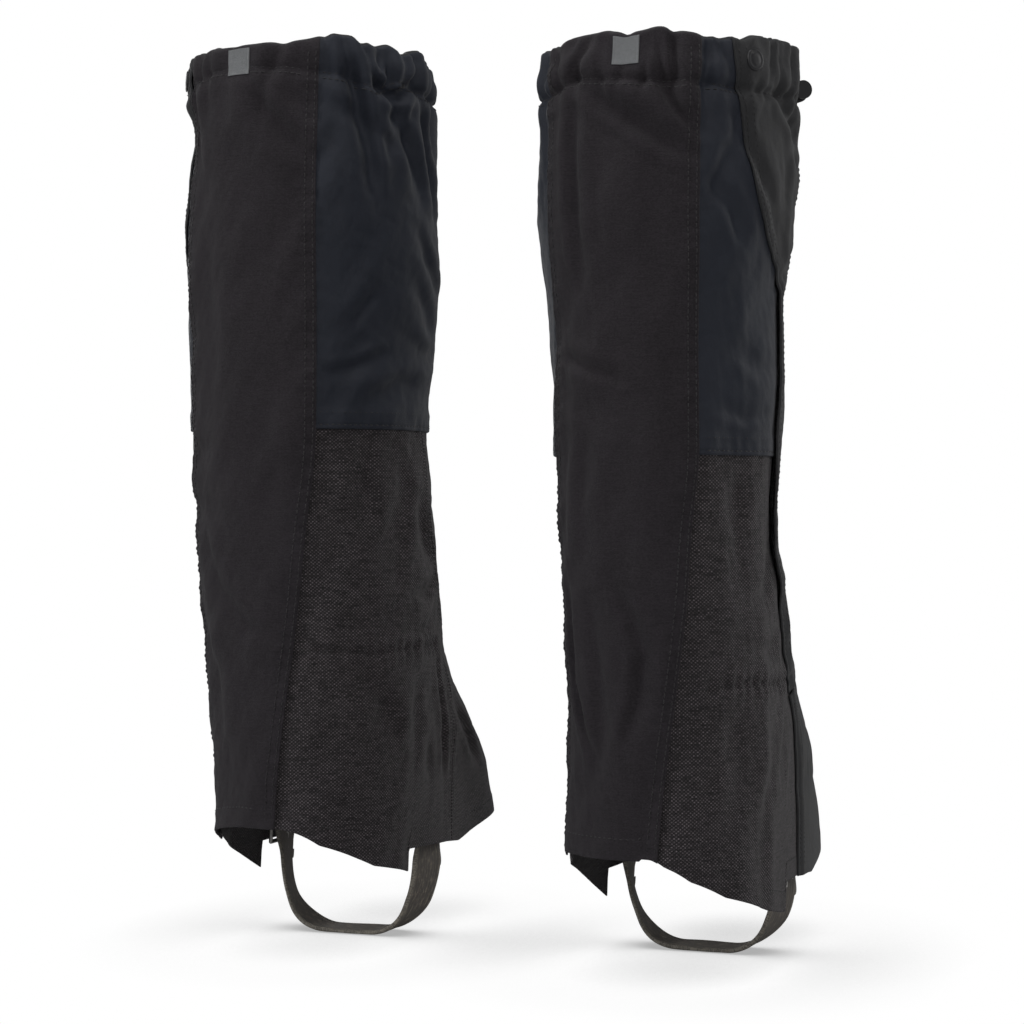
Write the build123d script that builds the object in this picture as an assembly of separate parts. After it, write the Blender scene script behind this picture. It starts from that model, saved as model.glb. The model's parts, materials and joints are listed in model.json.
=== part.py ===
"""A pair of full-length hiking gaiters, standing as worn.

Each gaiter is a fabric tube of sewn panels: a tapered back panel, navy upper side
panels, coarse-weave lower side panels, a front underlap, and a front flap that wraps
from the inner front round to the outer side and closes with hook-and-loop and a snap.
A drawcord with a barrel lock gathers the top hem, a lace hook holds the front hem and
an instep strap with a prong buckle pivots on two rivets.

Row frame: +Z up, toes towards -Y, wearer's left gaiter at +X. Millimetres.
"""
from build123d import *
import os
import numpy as np

os.makedirs("parts", exist_ok=True)

# ---------------------------------------------------------------- driving sizes
HALF_GAP = 108.0          # leg axis to the middle of the pair
TOP_Z = 516.0             # top of the hem above the strap's underside
HEM_H = 25.0              # depth of the drawcord hem
BACK_Z = 75.0             # bottom edge at the back
FABRIC = 1.0              # panel thickness
STRAP_W = 25.0
STRAP_T = 2.2
STRAP_Y = {"left": -49.0, "right": -64.0}     # centre of the instep strap
STRAP_X = 45.5            # inner face of the strap's side runs
PIVOT_Z = 92.0            # strap rivets
CORD_R = 1.3
SNAP_R = 6.0
ORIGIN_SHIFT = (-1.481, 53.978)  # puts the middle of the whole pair on the origin

GAITERS = {
    "left": {
        "sign": 1.0, "dz": 0.0, "lap_z": 300.0,
        "a": [(30, 57), (76, 57), (106, 58), (130, 60), (150, 61), (175, 63), (205, 65), (260, 67), (315, 68), (370, 70), (425, 72), (490, 68), (516, 67)],
        "seam_in": [(30, 0), (75, 2), (150, 10), (230, 24), (300, 32), (516, 34)],
        "seam_out": [(30, 78), (75, 76), (300, 62), (516, 58)],
        "front_in": 114.0,
    },
    "right": {
        "sign": -1.0, "dz": -8.0, "lap_z": 292.0,
        "a": [(30, 57), (76, 57), (106, 57), (130, 58), (150, 58), (175, 58), (205, 59), (260, 60), (315, 62), (370, 65), (425, 69), (490, 68), (516, 67)],
        "seam_in": [(30, 70), (75, 68), (300, 58), (516, 54)],
        "seam_out": [(30, 8), (75, 10), (150, 18), (230, 31), (300, 38), (516, 39)],
        "front_in": 114.0,
    },
}
BACK = [(30, 66), (150, 67), (260, 68), (370, 70), (425, 72), (490, 70), (516, 68)]
FRONT = [(30, 184), (60, 181), (76, 176), (106, 157), (130, 135), (150, 115), (175, 99), (205, 88), (260, 80), (315, 77), (370, 76), (425, 77), (490, 74), (516, 72)]
NOSE = [(30, 3.0), (76, 3.0), (106, 2.9), (130, 2.75), (150, 2.55), (175, 2.35), (205, 2.2), (260, 2.0), (516, 2.0)]
SHIFT = [(30, -6), (150, -6), (260, 0), (516, 0)]            # lean of the shaft
FLAP_EDGE = [(30, 150), (80, 149), (150, 143), (175, 131), (205, 117), (250, 105), (384, 104), (516, 104)]
WING_EDGE = [(392, 100), (397, 92), (405, 86), (423, 76), (440, 71), (477, 63), (516, 57)]
# bottom edge, seen from the side: (y, z), on the inner and the outer half
HEM_REST = [(-80, 53), (-140, 62), (-176, 66), (-240, 67)]
HEM = {
    "left": {
        "inner": [(120, 75), (66, 75), (59, 66), (34, 52.5), (0, 45.5), (-35, 37), (-36.2, 53)] + HEM_REST,
        "outer": [(120, 75), (62, 75), (40, 70), (-35, 37), (-36.2, 53)] + HEM_REST,
    },
    "right": {
        "inner": [(120, 77), (36, 75), (-50, 37), (-51.2, 53)] + HEM_REST,
        "outer": [(120, 77), (66, 77), (64.5, 73), (59, 65), (45, 55.5), (10, 44), (-15, 39.5), (-50, 37), (-51.2, 53)] + HEM_REST,
    },
}

Z_ALL = [30, 50, 70, 90, 106, 120, 135, 150, 165, 182, 200, 230, 262, 300, 345, 392, 430, 470, 516]


def lut(table, z):
    """Smooth (monotone cubic) reading of a (z, value) table."""
    x = np.array([p[0] for p in table], float)
    y = np.array([p[1] for p in table], float)
    if z <= x[0]:
        return float(y[0])
    if z >= x[-1]:
        return float(y[-1])
    h = np.diff(x)
    d = np.diff(y) / h
    m = np.zeros(len(x))
    m[0], m[-1] = d[0], d[-1]
    for k in range(1, len(x) - 1):
        m[k] = 0.0 if d[k - 1] * d[k] <= 0 else 2 * d[k - 1] * d[k] / (d[k - 1] + d[k])
    i = int(np.searchsorted(x, z) - 1)
    s = (z - x[i]) / h[i]
    return float(
        y[i] * (2 * s**3 - 3 * s**2 + 1) + h[i] * m[i] * (s**3 - 2 * s**2 + s)
        + y[i + 1] * (-2 * s**3 + 3 * s**2) + h[i] * m[i + 1] * (s**3 - s**2)
    )


_cache = {}


def outline(g, z):
    """Closed section at height z: points, outward normals and arc length from the
    back centre, inner side first. Local x points to the inner side of the leg."""
    key = (g, round(z, 4))
    if key not in _cache:
        q = GAITERS[g]
        a, bb, f, n = lut(q["a"], z), lut(BACK, z), lut(FRONT, z), lut(NOSE, z)
        th = np.linspace(0, 2 * np.pi, 1441)
        s, c = np.sin(th), np.cos(th)
        front = c < 0
        # superellipse written by polar angle, so that spacing stays even
        ux, uy = s, np.where(front, c * (f / a), c * (bb / a))
        nn = np.where(front, n, 2.0)
        k = (np.abs(ux) ** nn + (np.abs(c)) ** nn) ** (-1.0 / nn)
        x, y = a * s * k, np.where(front, f, bb) * c * k
        p = np.stack([x, y], 1)
        seg = np.linalg.norm(np.diff(p, axis=0), axis=1)
        t = np.concatenate([[0], np.cumsum(seg)])
        tan = np.gradient(p, axis=0)
        tan[0] = tan[-1] = [1.0, 0.0]
        tan /= np.linalg.norm(tan, axis=1)[:, None]
        nor = np.stack([-tan[:, 1], tan[:, 0]], 1)
        _cache[key] = (p, nor, t)
    return _cache[key]


def half(g, z):
    return outline(g, z)[2][-1] / 2


def point(g, t, z, off):
    """Row-frame point at arc t (mm from the back centre, + inner, - outer), height z
    and distance off outside the reference surface."""
    p, nor, arc = outline(g, z)
    t = t % arc[-1]
    x = np.interp(t, arc, p[:, 0]) + off * np.interp(t, arc, nor[:, 0])
    y = np.interp(t, arc, p[:, 1]) + off * np.interp(t, arc, nor[:, 1])
    return world(g, x, y, z)


def world(g, x, y, z):
    q = GAITERS[g]
    return (
        q["sign"] * (HALF_GAP - x) + lut(SHIFT, z) + ORIGIN_SHIFT[0],
        y + ORIGIN_SHIFT[1],
        z + q["dz"],
    )


def section(g, z, t0, t1, o0, o1, n):
    ts = np.linspace(t0, t1, n)
    outer = [point(g, t, z, o1) for t in ts]
    inner = [point(g, t, z, o0) for t in ts][::-1]
    return Wire([
        Edge.make_spline([Vector(*v) for v in outer]),
        Edge.make_line(Vector(*outer[-1]), Vector(*inner[0])),
        Edge.make_spline([Vector(*v) for v in inner]),
        Edge.make_line(Vector(*inner[-1]), Vector(*outer[0])),
    ])


def levels(z0, z1, extra=()):
    return sorted({z0, z1, *[z for z in list(Z_ALL) + list(extra) if z0 + 3 < z < z1 - 3]})


def panel(g, z0, z1, t0, t1, o0, o1, n=9, zs=None):
    """Fabric panel between arcs t0(z) and t1(z), from offset o0 to o1."""
    zs = zs or levels(z0, z1)
    f0 = t0 if callable(t0) else (lambda z: t0)
    f1 = t1 if callable(t1) else (lambda z: t1)
    return Solid.make_loft([section(g, z, f0(z), f1(z), o0, o1, n) for z in zs], True)


def hem_cut(g):
    """Everything below the bottom edge, as one prism for each half of the gaiter."""
    q = GAITERS[g]
    halves = []
    mid = world(g, 0, 0, 40)[0]
    for half_, reach in (("inner", -400.0), ("outer", 400.0)):
        pts = [(y, z) for y, z in HEM[g][half_]] + [(-240, -20), (120, -20)]
        face = Face(Wire.make_polygon([
            Vector(mid, y + ORIGIN_SHIFT[1], z + q["dz"]) for y, z in pts], close=True))
        halves.append(Solid.extrude(face, Vector(reach * q["sign"], 0, 0)))
    return halves[0] + halves[1]


def frame_at(g, t, z, off, level=False):
    """Frame on the fabric: origin, outward normal, tangent (towards +t). With level
    the normal is kept horizontal, for things that hang plumb."""
    o = np.array(point(g, t, z, off))
    e = np.array(point(g, t + 0.5, z, off)) - np.array(point(g, t - 0.5, z, off))
    out = np.array(point(g, t, z, off + 1)) - o
    e[2] = out[2] = 0
    e /= np.linalg.norm(e)
    if level:
        return o, out / np.linalg.norm(out), e
    up = np.array(point(g, t, z + 0.5, off)) - np.array(point(g, t, z - 0.5, off))
    n = np.cross(e, up)
    n /= np.linalg.norm(n)
    return o, n if n @ out > 0 else -n, e


def disc(centre, axis, r, h0, h1):
    """Cylinder along axis from h0 to h1."""
    axis = np.array(axis, float) / np.linalg.norm(axis)
    base = np.array(centre) + axis * h0
    return Solid.make_cylinder(r, h1 - h0, Plane(Vector(*base), z_dir=Vector(*axis)))


def one(shape):
    """The solids of a result as one compound."""
    s = shape.solids() if hasattr(shape, "solids") else shape
    return s[0] if len(s) == 1 else Compound(children=list(s))


def save(name, shape):
    export_step(shape, f"parts/{name}.step")


FACTS = {}


def gaiter(g):
    q = GAITERS[g]
    sg = q["sign"]
    H = lambda z: half(g, z)
    seam_i = lambda z: lut(q["seam_in"], z)
    seam_o = lambda z: -lut(q["seam_out"], z)
    edge = lambda z: -lut(FLAP_EDGE, z)
    lap = q["lap_z"]
    fin = q["front_in"]
    toe = lambda z: lut([(30, 163), (150, 160), (205, 140), (262, 118), (320, fin)], z)
    cut = hem_cut(g)
    out = {}

    # ---- shell panels, lowest layer first
    lower0, lower1 = -FABRIC, 0.0
    upper0, upper1 = 0.15, 0.15 + FABRIC
    back0, back1 = 1.3, 1.3 + FABRIC
    out["inner_lower_panel"] = panel(g, 30, lap + 13, lambda z: seam_i(z) - 11, toe, lower0, lower1, 13) - cut
    out["outer_lower_panel"] = panel(g, 30, lap + 13, lambda z: -lut([(30, 156), (150, 150), (205, 128), (262, 113), (320, 111)], z), lambda z: seam_o(z) + 11, lower0, lower1, 13) - cut
    out["inner_toe_panel"] = panel(g, 30, lap + 13, lambda z: toe(z) + 0.3, lambda z: 0.955 * H(z), lower0, lower1, 11) - cut
    out["inner_upper_panel"] = panel(g, lap, TOP_Z, lambda z: seam_i(z) - 11, lambda z: 0.955 * H(z), upper0, upper1, 17)
    out["outer_upper_panel"] = panel(g, lap, TOP_Z, -112, lambda z: seam_o(z) + 11, upper0, upper1, 9)
    out["back_panel"] = panel(g, 30, TOP_Z, seam_o, seam_i, back0, back1, 11) - cut
    low_u = panel(g, 30, lap + 13, lambda z: -0.99 * H(z), lambda z: -lut([(30, 156.3), (150, 150.3), (205, 128.3), (262, 113.3), (320, 111.3)], z), lower0, lower1, 11) - cut
    top_u = panel(g, lap + 13.2, TOP_Z, lambda z: -0.99 * H(z), -112.3, lower0, lower1, 9)
    out["top_hem"] = panel(g, TOP_Z - HEM_H, TOP_Z, lambda z: -0.94 * H(z), lambda z: 0.91 * H(z), -5.4, -4.5, 41)

    # ---- drawcord in the hem
    zc = TOP_Z - 10
    ts = np.linspace(-0.93 * H(zc), 0.90 * H(zc), 49)
    path = Edge.make_spline([Vector(*point(g, t, zc, -2.75)) for t in ts])
    sec = Plane(path @ 0, z_dir=path % 0)
    out["drawcord"] = Solid.sweep(Face(Wire.make_circle(CORD_R, sec)), Wire([path]))

    # ---- ankle elastic, inside the lower side panels
    za, zb = 168, 188
    out["ankle_elastic"] = Compound(children=[
        panel(g, za, zb, lambda z: seam_i(z) + 2, lambda z: toe(z) - 8, -2.3, -1.3, 13),
        panel(g, za, zb, lambda z: -120, lambda z: seam_o(z) - 2, -2.3, -1.3, 13),
    ])

    # ---- hook-and-loop: soft side on the gaiter
    loop_a = panel(g, 212, 472, lambda z: edge(z) - 32, lambda z: edge(z) - 8, 1.3, 2.2, 5)
    loop_b = panel(g, 72, 150, lambda z: edge(z) - 30, lambda z: edge(z) - 6, 0.2, 0.95, 5)
    out["loop_strip"] = Compound(children=[loop_a, loop_b])

    # ---- front flap, wing and lower flap (one layer further out)
    f0, f1 = 3.5, 3.5 + FABRIC
    h_in = lambda z: 0.925 * H(z)
    e_far = lambda z: 2 * H(z) + edge(z)
    # the two flaps part on the plane square to the lower hinge line
    pa = np.array(point(g, h_in(76), 76, 2.6))
    pb = np.array(point(g, h_in(196), 196, 2.6))
    ax = (pb - pa) / np.linalg.norm(pb - pa)
    def slab(o_, d_):
        pl = Plane(Vector(*o_), z_dir=Vector(*d_))
        c = pl.from_local_coords(Vector(-300, -300, 0))
        return Solid.make_box(600, 600, 320, Plane(c, x_dir=pl.x_dir, z_dir=pl.z_dir))
    out["front_flap"] = panel(g, 120, TOP_Z, h_in, e_far, f0, f1, 19) - slab(pb + ax * 0.4, -ax)
    out["hook_strip"] = panel(g, 212, 472, lambda z: edge(z) - 32, lambda z: edge(z) - 8, 2.35, 3.35, 5)
    wing_z = [392, 397, 405, 423, 440, 477, 516]
    wing = panel(g, 392, 516, lambda z: edge(z) + 0.4, lambda z: -lut(WING_EDGE, z), f0, f1, 7, wing_z)
    out["lower_flap"] = panel(g, 30, 206, h_in, e_far, 2.1, 2.1 + FABRIC, 21) - cut - slab(pb - ax * 0.4, ax)

    # ---- snap on the wing and its stud on the hem
    snap_t, snap_z = -70.0, 503.0
    o, n, e = frame_at(g, snap_t, snap_z, 0)
    wing = wing - disc(o, n, 2.15, 2.0, 6.0)
    out["flap_wing"] = wing
    cap = disc(o, n, SNAP_R, f1 + 0.1, f1 + 1.5) + disc(o, n, 2.05, f0 - 0.4, f1 + 0.3)
    cap = one(cap)
    cap = cap.fillet(0.9, [ed for ed in cap.edges().filter_by(GeomType.CIRCLE) if ed.radius > 5.5 and (Vector(*o) - ed.arc_center).length > f1 + 1.2])
    socket = disc(o, n, 4.6, f0 - 1.35, f0 - 0.4) - disc(o, n, 1.95, f0 - 2, f0 - 0.8)
    out["snap_cap"] = Compound(children=[cap, one(socket)])
    out["snap_stud"] = one(disc(o, n, 4.6, upper1 + 0.1, upper1 + 0.75) + disc(o, n, 1.6, upper1 + 0.5, upper1 + 1.35))

    # ---- cord loop, barrel lock and button on the flap's outer side
    lk_t, lk_z = -160.0, 500.0
    o, n, e = frame_at(g, lk_t, lk_z, 0, level=True)
    Rr = 11.6                                   # barrel centre, out from the surface
    lk = o + n * Rr
    up = np.array([0.0, 0.0, 1.0])
    strands = []
    pts_a = []
    s = 1.5
    # a loop: out of the hem at two stitched holes, down through the lock, round the end
    def P(dt, dn, dz):
        return Vector(*(o + e * dt + n * dn + up * dz))
    loop_pts = [P(-s, 4.75, 9.5), P(-s, 8.0, 10.4), P(-s, 10.9, 9.0), P(-s, 11.6, 7.5), P(-s, 11.6, -20), P(-s, 11.6, -38), P(-s * 0.6, 11.6, -41), P(0, 11.6, -42.2), P(s * 0.6, 11.6, -41), P(s, 11.6, -38), P(s, 11.6, -20), P(s, 11.6, 7.5), P(s, 10.9, 9.0), P(s, 8.0, 10.4), P(s, 4.75, 9.5)]
    e1 = Edge.make_spline(loop_pts[:4], tangents=[Vector(*n), Vector(0, 0, -1)])
    e2 = Edge.make_line(loop_pts[3], loop_pts[5])
    e3 = Edge.make_three_point_arc(loop_pts[5], P(0, 11.6, -38 - s), loop_pts[9])
    e4 = Edge.make_line(loop_pts[9], loop_pts[11])
    e5 = Edge.make_spline(loop_pts[11:], tangents=[Vector(0, 0, 1), Vector(*(-n))])
    w = Wire([e1, e2, e3, e4, e5])
    sec = Plane(w @ 0, z_dir=w % 0)
    out["cord_loop"] = one(Solid.sweep(Face(Wire.make_circle(CORD_R, sec)), w))
    # barrel: axis along the tangent, button towards the back (+e for t increasing)
    back_dir = e                                   # arc increases towards the back here
    body = disc(lk, back_dir, 6.2, -9.0, 7.0)
    body = body.fillet(1.2, body.edges().filter_by(GeomType.CIRCLE))
    bore = disc(lk, back_dir, 4.3, -7.6, 8.0)
    slot_plane = Plane(Vector(*(lk - up * 8)), x_dir=Vector(*e), z_dir=Vector(0, 0, 1))
    slot = Solid.make_box(6.2, 3.2, 16, slot_plane.offset(0)).moved(Location(Vector(*(-e * 3.1 - np.cross(up, e) * 1.6))))
    body = body - bore - slot
    out["cord_lock_barrel"] = one(body)
    plunger = disc(lk, back_dir, 4.2, -3.6, 7.4) + disc(lk, back_dir, 5.2, 11.2, 13.2) + disc(lk, back_dir, 4.0, 7.2, 11.4)
    pslot = Solid.make_box(10.4, 3.4, 16, slot_plane).moved(Location(Vector(*(-e * 3.05 - np.cross(up, e) * 1.7))))
    out["cord_lock_button"] = one(one(plunger) - pslot - disc(lk, back_dir, 2.4, -3.7, -3.2))
    # spring: a stack of coils between the barrel floor and the plunger
    coil = Edge.make_helix(0.95, 3.05, 2.9, Vector(*(lk - back_dir * 7.15)), Vector(*back_dir))
    csec = Plane(coil @ 0, z_dir=coil % 0)
    out["cord_lock_spring"] = one(Solid.sweep(Face(Wire.make_circle(0.32, csec)), Wire([coil]), is_frenet=True))
    FACTS[g + "_lock"] = {"lk": lk.tolist(), "e": e.tolist(), "n": n.tolist(), "o": o.tolist()}

    # ---- lower hook strip
    out["lower_hook_strip"] = panel(g, 72, 150, lambda z: edge(z) - 30, lambda z: edge(z) - 6, 1.1, 1.9, 5)

    # ---- woven label at the back of the hem
    out["label"] = panel(g, TOP_Z - 17, TOP_Z - 2, -7 if g == "right" else -19, 7 if g == "right" else -5, back1 + 0.15, back1 + 0.65, 5)

    # ---- lace hook inside the front hem: plate on the slope, bight below, tip up
    hx = -6.0                                      # a little to the outer side
    def W(x, y, z):
        return Vector(*world(g, x, y, z))
    r_b, th, gap = 2.6, 1.2, 2.0
    fy = lambda z: -lut(FRONT, z)
    zc_, z_low = 57.5, 64.0
    cy = fy(z_low) + gap + th + r_b                # centre of the bight
    zs_ = [92.0, 82.0, 73.0, z_low]
    outer = [(fy(z) + gap, z) for z in zs_]
    inner = [(fy(z) + gap + th, z) for z in zs_][::-1]
    y_o, y_i = cy - r_b - th, cy - r_b
    pts_o = [W(hx, y, z) for y, z in outer] + [W(hx, y_o, zc_)]
    tip = [W(hx, cy + r_b + th, zc_), W(hx, cy + r_b + th, zc_ + 4.5), W(hx, cy + r_b, zc_ + 4.5), W(hx, cy + r_b, zc_)]
    pts_i = [W(hx, y_i, zc_)] + [W(hx, y, z) for y, z in inner]
    edges = [Edge.make_line(a_, b_) for a_, b_ in zip(pts_o, pts_o[1:])]
    edges.append(Edge.make_three_point_arc(pts_o[-1], W(hx, cy, zc_ - r_b - th), tip[0]))
    edges += [Edge.make_line(a_, b_) for a_, b_ in zip(tip, tip[1:])]
    edges.append(Edge.make_three_point_arc(tip[-1], W(hx, cy, zc_ - r_b), pts_i[0]))
    edges += [Edge.make_line(a_, b_) for a_, b_ in zip(pts_i, pts_i[1:])]
    edges.append(Edge.make_line(pts_i[-1], pts_o[0]))
    hook = Solid.extrude(Face(Wire(edges)), Vector(10, 0, 0)).moved(Location(Vector(-5, 0, 0)))
    rivets = []
    for z in (77.5, 87.0):
        c = np.array(world(g, hx, fy(z), z))
        d_ = np.array(world(g, hx, fy(z + 1), z + 1)) - np.array(world(g, hx, fy(z - 1), z - 1))
        nr = np.array([0.0, -d_[2], d_[1]])
        nr /= np.linalg.norm(nr)
        hook = hook - disc(c, nr, 1.6, -6, 2)
        low_u = low_u - disc(c, nr, 1.6, -3, 2)
        rivets.append((c, nr))
    out["lace_hook"] = one(hook)
    out["underlap"] = Compound(children=[*low_u.solids(), *top_u.solids()])
    FACTS[g + "_hook"] = {"centre": list(tuple(W(hx, cy, zc_)))}

    # ---- patches, rivets, strap, buckle
    px = STRAP_X
    def box(x0, x1, y0, y1, z0, z1):
        A, B = world(g, x0, y0, z0), world(g, x1, y1, z1)
        lo = [min(A[i], B[i]) for i in range(3)]
        hi = [max(A[i], B[i]) for i in range(3)]
        return Solid.make_box(hi[0] - lo[0], hi[1] - lo[1], hi[2] - lo[2], Plane(Vector(*lo)))
    def rod(x0, x1, y, z, r):
        A, B = Vector(*world(g, x0, y, z)), Vector(*world(g, x1, y, z))
        return Solid.make_cylinder(r, (B - A).length, Plane(A, z_dir=(B - A)))
    yc = STRAP_Y[g]
    pin_r = 2.0
    xs = px + STRAP_T                              # outer face of the strap's side run
    parts_patch, parts_rivet = [], []
    for s_ in (1, -1):
        # pad between the strap and the panel, recessed for the rivet's outer head
        pt = panel(g, 84, 108, min(40 * s_, 200 * s_), max(40 * s_, 200 * s_), -11.0, -1.2, 15) & box(s_ * (xs + 0.25), s_ * (xs + 20.0), yc - 12, yc + 12, 80, 112)
        pt = pt - rod(s_ * (xs - 5), s_ * (xs + 5), yc, PIVOT_Z, 2.1) - rod(s_ * (xs + 2.95), s_ * (xs + 20), yc, PIVOT_Z, 4.5)
        parts_patch.append(one(pt))
        if s_ == 1:
            rv = rod(xs + 3.6, px - 1.1, yc, PIVOT_Z, pin_r) + rod(px - 0.15, px - 1.1, yc, PIVOT_Z, 4.6) + rod(xs + 3.05, xs + 3.6, yc, PIVOT_Z, 4.2)
        else:
            rv = rod(-(xs + 3.6), -(px - 1.1), yc, PIVOT_Z, pin_r) + rod(-(px - 0.15), -(px - 1.1), yc, PIVOT_Z, 4.6) + rod(-(xs + 3.05), -(xs + 3.6), yc, PIVOT_Z, 4.2)
        parts_rivet.append(one(rv))
    # hook rivets: shank through the plate and the fabric, heads each side
    for c, nr in rivets:
        rv = disc(c, nr, 1.5, -3.6, 0.5) + disc(c, nr, 2.6, -4.1, -3.3) + disc(c, nr, 2.8, 0.25, 1.0)
        parts_rivet.append(one(rv))
    out["strap_patches"] = Compound(children=parts_patch)
    out["rivets"] = Compound(children=parts_rivet)

    # strap: U-shaped band, side runs up inside the hem
    dz = -q["dz"]                                  # strap underside stays on the ground
    z0 = dz
    rb = 24.0
    x_in, x_out = px, px + STRAP_T
    def Q(x, z):
        return Vector(*world(g, x, yc - STRAP_W / 2, z))
    top_i, top_o = 103.0, 72.0
    def arc(cx, cz_, r, a0, a1, am):
        f = lambda a_: Q(cx + r * np.cos(np.radians(a_)), cz_ + r * np.sin(np.radians(a_)))
        return Edge.make_three_point_arc(f(a0), f(am), f(a1))
    co = rb + STRAP_T
    ci_x = x_in - rb
    strap_edges = [
        Edge.make_line(Q(x_out, top_i), Q(x_out, z0 + co)),
        arc(ci_x, z0 + co, co, 0, -90, -45),
        Edge.make_line(Q(ci_x, z0), Q(-ci_x, z0)),
        arc(-ci_x, z0 + co, co, -90, -180, -135),
        Edge.make_line(Q(-x_out, z0 + co), Q(-x_out, top_o)),
        Edge.make_line(Q(-x_out, top_o), Q(-x_in, top_o)),
        Edge.make_line(Q(-x_in, top_o), Q(-x_in, z0 + co)),
        arc(-ci_x, z0 + co, rb, -180, -90, -135),
        Edge.make_line(Q(-ci_x, z0 + STRAP_T), Q(ci_x, z0 + STRAP_T)),
        arc(ci_x, z0 + co, rb, -90, 0, -45),
        Edge.make_line(Q(x_in, z0 + co), Q(x_in, top_i)),
        Edge.make_line(Q(x_in, top_i), Q(x_out, top_i)),
    ]
    strap = Solid.extrude(Face(Wire(strap_edges)), Vector(0, STRAP_W, 0))
    strap = strap - rod(px - 5, px + 6, yc, PIVOT_Z, 2.06)
    # row of buckle holes in the outer run, the prong sits in the top one
    prong_z = 62.0
    for i in range(3):
        strap = strap - rod(-(px - 3), -(px + 6), yc, prong_z - 7 * i, 1.9)
    out["instep_strap"] = one(strap)

    # buckle: rectangular wire frame outside the strap's outer run, hung from a
    # webbing tab; the prong has an eye round the top bar and a peg in a strap hole
    fz0, fz1 = 53.0, 76.0
    fw = STRAP_W / 2 + 2.2
    def wire_bar(p, r_, s__):
        return Solid.make_cylinder(s__, (r_ - p).length, Plane(p, z_dir=(r_ - p)))
    def V(x, y, z):
        return Vector(*world(g, x, y, z))
    def bar_y(r_, hw):
        return Solid.make_cylinder(r_, 2 * hw, Plane(V(xb, yc - hw, fz1), z_dir=(0, 1, 0)))
    wr = 1.25
    xb = -(px + STRAP_T + 1.45)                    # bars lie just outside the strap
    c0, c1, c2, c3 = V(xb, yc - fw, fz0), V(xb, yc + fw, fz0), V(xb, yc + fw, fz1), V(xb, yc - fw, fz1)
    frame = wire_bar(c0, c1, wr) + wire_bar(c1, c2, wr) + wire_bar(c2, c3, wr) + wire_bar(c3, c0, wr)
    for c in (c0, c1, c2, c3):
        frame = frame + Solid.make_sphere(wr).moved(Location(c))
    out["buckle_frame"] = one(frame)
    tab = box(-(px + 0.1), -(px + 1.9), yc - 11, yc + 11, fz1 + 1.2, 102)
    tab = tab + box(-(px + 0.1), xb, yc - 11, yc + 11, fz1 + 1.2, fz1 + 2.6) + bar_y(wr + 1.1, 11)
    tab = tab - bar_y(wr + 0.1, 15) - box(xb - 3.2, xb + 2.5, yc - 2.0, yc + 2.0, fz1 - 4, fz1 + 3.0)
    tab = tab - rod(-(px - 4), -(px + 6), yc, PIVOT_Z, 2.06)
    out["buckle_tab"] = one(tab)
    prong = bar_y(wr + 1.0, 1.5) + box(xb - 1.4, xb - 2.25, yc - 1.0, yc + 1.0, fz0 - 2.0, fz1)
    prong = prong + rod(xb - 1.5, -(px + 1.1), yc, prong_z, 0.9) - bar_y(wr + 0.08, 6)
    out["buckle_prong"] = one(prong)

    FACTS[g + "_hinges"] = {
        "flap": [point(g, h_in(205), 205, f0), point(g, h_in(510), 510, f0)],
        "lower": [point(g, h_in(76), 76, 2.8), point(g, h_in(196), 196, 2.8)],
        "wing": [point(g, edge(396) + 0.2, 396, f1 + 1.6), point(g, edge(512) + 0.2, 512, f1 + 3.2)],
        "strap": [world(g, px, yc, PIVOT_Z), world(g, -px, yc, PIVOT_Z)],
        "prong": list(tuple(V(xb, yc, fz1))),
        "seat": list(world(g, 0, yc, z0 + STRAP_T)),
        "top": list(world(g, 0, 0, TOP_Z)),
    }
    for name, shape in out.items():
        save(f"{g}_{name}", one(shape))
    return out


if __name__ == "__main__":
    for g in GAITERS:
        gaiter(g)
    print(FACTS)
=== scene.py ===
"""Looks for a pair of hiking gaiters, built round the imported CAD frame."""
import json
import math

import bmesh
import bpy
import numpy as np
from mathutils import Matrix, Vector

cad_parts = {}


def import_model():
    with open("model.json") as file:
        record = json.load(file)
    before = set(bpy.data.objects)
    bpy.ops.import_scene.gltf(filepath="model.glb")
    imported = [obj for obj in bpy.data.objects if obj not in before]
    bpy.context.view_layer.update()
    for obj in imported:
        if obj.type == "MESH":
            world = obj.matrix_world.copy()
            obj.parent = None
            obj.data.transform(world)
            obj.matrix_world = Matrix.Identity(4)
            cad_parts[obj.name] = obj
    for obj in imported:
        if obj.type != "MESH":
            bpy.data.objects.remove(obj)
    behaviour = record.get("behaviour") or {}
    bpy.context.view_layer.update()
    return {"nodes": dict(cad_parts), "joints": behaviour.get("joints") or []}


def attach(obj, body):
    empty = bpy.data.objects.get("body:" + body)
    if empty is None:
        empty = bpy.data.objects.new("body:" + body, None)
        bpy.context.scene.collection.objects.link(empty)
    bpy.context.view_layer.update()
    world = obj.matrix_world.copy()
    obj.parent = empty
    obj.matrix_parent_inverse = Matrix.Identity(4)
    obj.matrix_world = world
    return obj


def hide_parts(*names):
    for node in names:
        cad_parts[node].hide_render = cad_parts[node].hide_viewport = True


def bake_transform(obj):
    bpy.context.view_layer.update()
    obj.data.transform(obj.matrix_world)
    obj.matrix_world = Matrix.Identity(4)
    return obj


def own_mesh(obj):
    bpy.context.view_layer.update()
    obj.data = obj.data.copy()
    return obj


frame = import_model()
MM = 0.001
STEP = 1.7

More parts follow.
